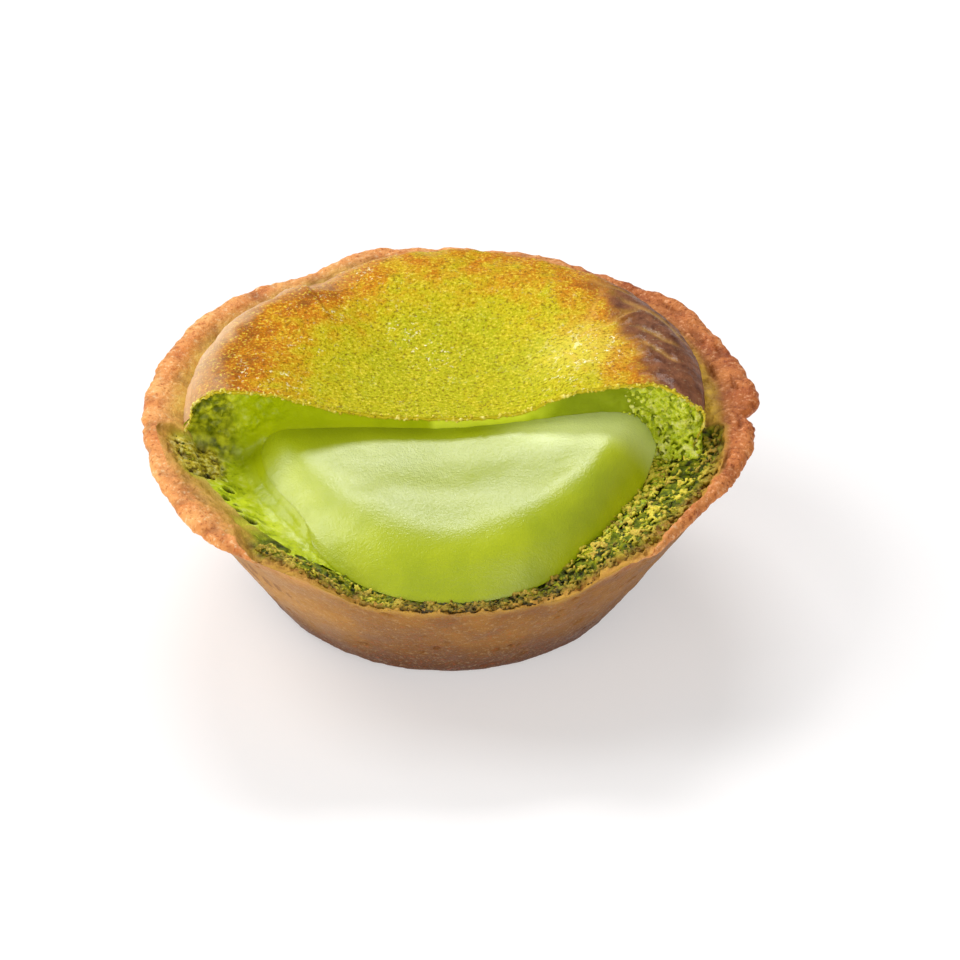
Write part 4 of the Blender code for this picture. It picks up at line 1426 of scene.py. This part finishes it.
def skin_material():
    look = Look("browned_skin", Roughness=0.5, Specular_IOR_Level=0.08, Coat_Roughness=0.16)
    mottle = look.noise(2.2, 4.0, 0.62)
    fleck = look.noise(0.36, 3.0, 0.65)
    colour = look.ramp(look.maths("ADD", "browned", look.span(mottle, 0.3, 0.7, -0.14, 0.14)), *BAKING)
    # a pale patch, partly painted sheen
    colour = look.blend(look.times("pale_patch_and_sheen", 0.6), colour, (240, 224, 84))
    bright = look.maths("SUBTRACT", 1.0, look.times("dusky", 0.9))
    flecks = (0.53, 0.67, 0.8, (242, 222, 70)), (0.48, 0.34, 0.72, (124, 92, 0))
    colour = look.flecks(bright, colour, fleck, *flecks)
    # painted sheen on the left flank
    colour = look.blend("pale", colour, (242, 205, 161))
    dusk = look.ramp(look.noise(1.6, 4.0), (0.34, (94, 50, 30)), (0.66, (146, 92, 60)))
    colour = look.blend("dusky", colour, dusk)
    colour = look.blend(look.times("crease", 0.32), colour, (236, 184, 84))
    colour = look.blend("lip", colour, (226, 204, 44))
    # painted highlight: near-white streaks over the pale patch
    wavy = look.maths("ABSOLUTE", look.maths("SUBTRACT", look.noise(2.4, 3.0, 0.5), 0.5), 0.0)
    highlight_streaks = look.times(look.span(wavy, 0.022, 0.006), look.span(look.noise(2.0, 2.0), 0.46, 0.58))
    colour = look.blend(look.times(look.times(highlight_streaks, "pale_patch_and_sheen"), 0.85), colour, (255, 244, 176))
    # painted highlight: near-white glints in the colour, where the coat also makes it glossy
    glittering = look.times(look.span(look.noise(1.3), 0.5, 0.58), "glitter")
    shining = look.times(look.span(look.noise(0.42, 3.0, 0.7), 0.57, 0.63), glittering)
    glossy = look.maths("MAXIMUM", look.times("dusky", 0.12), look.times("pale", 0.2))
    grainy = look.bump(fleck, 0.14, look.bump(look.noise(1.0), 0.2))
    return look.finish(
        Base_Color=look.blend(shining, colour, (255, 248, 190)),
        Coat_Weight=look.maths("MAXIMUM", shining, glossy),
        Normal=look.bump(look.noise(0.2, 2.0, 0.6), 0.06, grainy),
    )


def soft_material():
    settings = {"Roughness": 0.33, "Specular_IOR_Level": 0.5, "Coat_Weight": 0.42, "Coat_Roughness": 0.34}
    look = Look("soft_matcha_cheese", **settings, **translucent(0.35, 1.4))
    colour = look.ramp(look.noise(6.0, 2.0), *SOFT_RAMP)
    # painted shade on the middle of the top
    colour = look.blend(look.times("middle", 0.7), colour, (150, 164, 4))
    # painted highlight near the right of the cut face
    colour = look.blend(look.times("back", 0.8), colour, (222, 234, 150))
    pores = look.bump(look.noise(0.4, 2.0), 0.055)
    return look.finish(Base_Color=colour, Normal=look.bump(look.noise(0.16, 1.0), 0.035, pores))


def crumb_material():
    settings = {"Subsurface_Weight": 0.15, "Subsurface_Scale": 0.4 * MM}
    look = Look("matcha_crumb", Roughness=0.5, Specular_IOR_Level=0.22, **settings)
    # painted shade low among the crumbs and painted light on their tips, over a random mottle
    height = look.maths("ADD", "raised", look.span(look.noise(0.6, 3.0, 0.6), 0.3, 0.7, -0.22, 0.22))
    tones = (0.22, CRUMB_DARK), (0.45, CRUMB_GREEN), (0.66, CRUMB_YELLOW), (0.92, CRUMB_LIGHT)
    colour = look.ramp(height, *tones)
    # patches, also darker low down and lighter up high, as painted shade and light
    patches = look.span(look.noise(2.6, 2.0), 0.5, 0.62, 0.0, 0.6)
    colour = look.blend(patches, colour, look.blend(height, (84, 60, 10), (214, 178, 80)))
    colour = look.blend(look.span("outward", 0.65, 1.05, 0.0, 0.75), colour, CRUMB_BROWN)
    # the front crumbs' browning, darker low down and lighter up high, as painted shade and light
    baked = look.ramp(height, (0.3, (12, 6, 0)), (0.56, (62, 42, 3)), (0.84, (150, 116, 34)))
    colour = look.blend(look.times("in_front", 0.8), colour, baked)
    return look.finish(Base_Color=colour, Normal=look.bump(look.noise(0.24, 3.0, 0.65), 0.16))


def floor_material():
    look = Look("pale_table", Roughness=0.6, Emission_Color=(1.0, 0.99, 0.985, 1.0), Emission_Strength=0.42)
    colour = look.ramp(look.noise(300.0, 2.0), (0.3, (198, 196, 196)), (0.7, (202, 201, 201)))
    return look.finish(Base_Color=colour)


# --- stage ----------------------------------------------------------------------------------------

CAMERA_ELEVATION = math.radians(35.2)
CAMERA_DISTANCE = 0.45
CAMERA_TARGET = Vector((0.0, 0.0, 0.020))
SENSOR = 36.0
PHOTO_SIDE = 960.0  # pixels
PIXELS_PER_MM = 8.69
PHOTO_SHIFT = (32.5, -57.5)  # pixels from the photograph's middle to the target

# (name, from azimuth and elevation in degrees, distance, width, height, watts)
LIGHTS = (
    ("key", -111.0, 46.0, 0.9, 0.42, 0.42, 3.9),
    ("back_softbox", -174.0, 46.5, 0.9, 0.46, 0.19, 3.9),
    ("front_fill", 14.0, 30.0, 0.9, 0.8, 0.5, 3.0),
    ("left_fill", -52.0, 14.0, 0.9, 0.6, 0.3, 2.3),
)
WORLD_STRENGTH = 0.26


def make_stage():
    low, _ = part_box("tart_shell")
    mesh_data = bpy.data.meshes.new("table")
    side = 1.5
    corners = [(-side, -side, low.z), (side, -side, low.z), (side, side, low.z), (-side, side, low.z)]
    mesh_data.from_pydata(corners, [], [(0, 1, 2, 3)])
    mesh_data.materials.append(floor_material())
    table = put_in_scene("table", mesh_data)


def make_camera():
    forward = Vector((0.0, math.cos(CAMERA_ELEVATION), -math.sin(CAMERA_ELEVATION)))
    data = bpy.data.cameras.new("camera")
    data.sensor_width = SENSOR
    data.lens = PIXELS_PER_MM * (CAMERA_DISTANCE / MM) / PHOTO_SIDE * SENSOR
    data.shift_x = PHOTO_SHIFT[0] / PHOTO_SIDE
    data.shift_y = PHOTO_SHIFT[1] / PHOTO_SIDE
    data.clip_start = 0.01
    camera = put_in_scene("camera", data)
    camera.location = CAMERA_TARGET - forward * CAMERA_DISTANCE
    camera.rotation_euler = (math.pi / 2 - CAMERA_ELEVATION, 0.0, 0.0)
    bpy.context.scene.camera = camera


def make_lights():
    for name, azimuth, elevation, distance, width, height, watts in LIGHTS:
        data = bpy.data.lights.new(name, "AREA")
        data.shape = "RECTANGLE"
        data.size, data.size_y = width, height
        data.energy = watts
        around, up = math.radians(azimuth), math.radians(elevation)
        towards = Vector((math.sin(around) * math.cos(up), -math.cos(around) * math.cos(up), math.sin(up)))
        light = put_in_scene(name, data)
        light.location = CAMERA_TARGET + towards * distance
        light.rotation_euler = towards.to_track_quat("Z", "Y").to_euler()
    world = bpy.data.worlds.new("studio")
    world.use_nodes = True
    background = world.node_tree.nodes["Background"]
    background.inputs["Color"].default_value = (1.0, 1.0, 1.0, 1.0)
    background.inputs["Strength"].default_value = WORLD_STRENGTH
    bpy.context.scene.world = world
    bpy.context.scene.view_settings.view_transform = "Standard"


make_crust()
make_set_cheese()
make_lip_crumbs(make_skin())
make_soft_cheese()
make_crumbs()
make_cheese_grains()
make_stage()
make_camera()
make_lights()
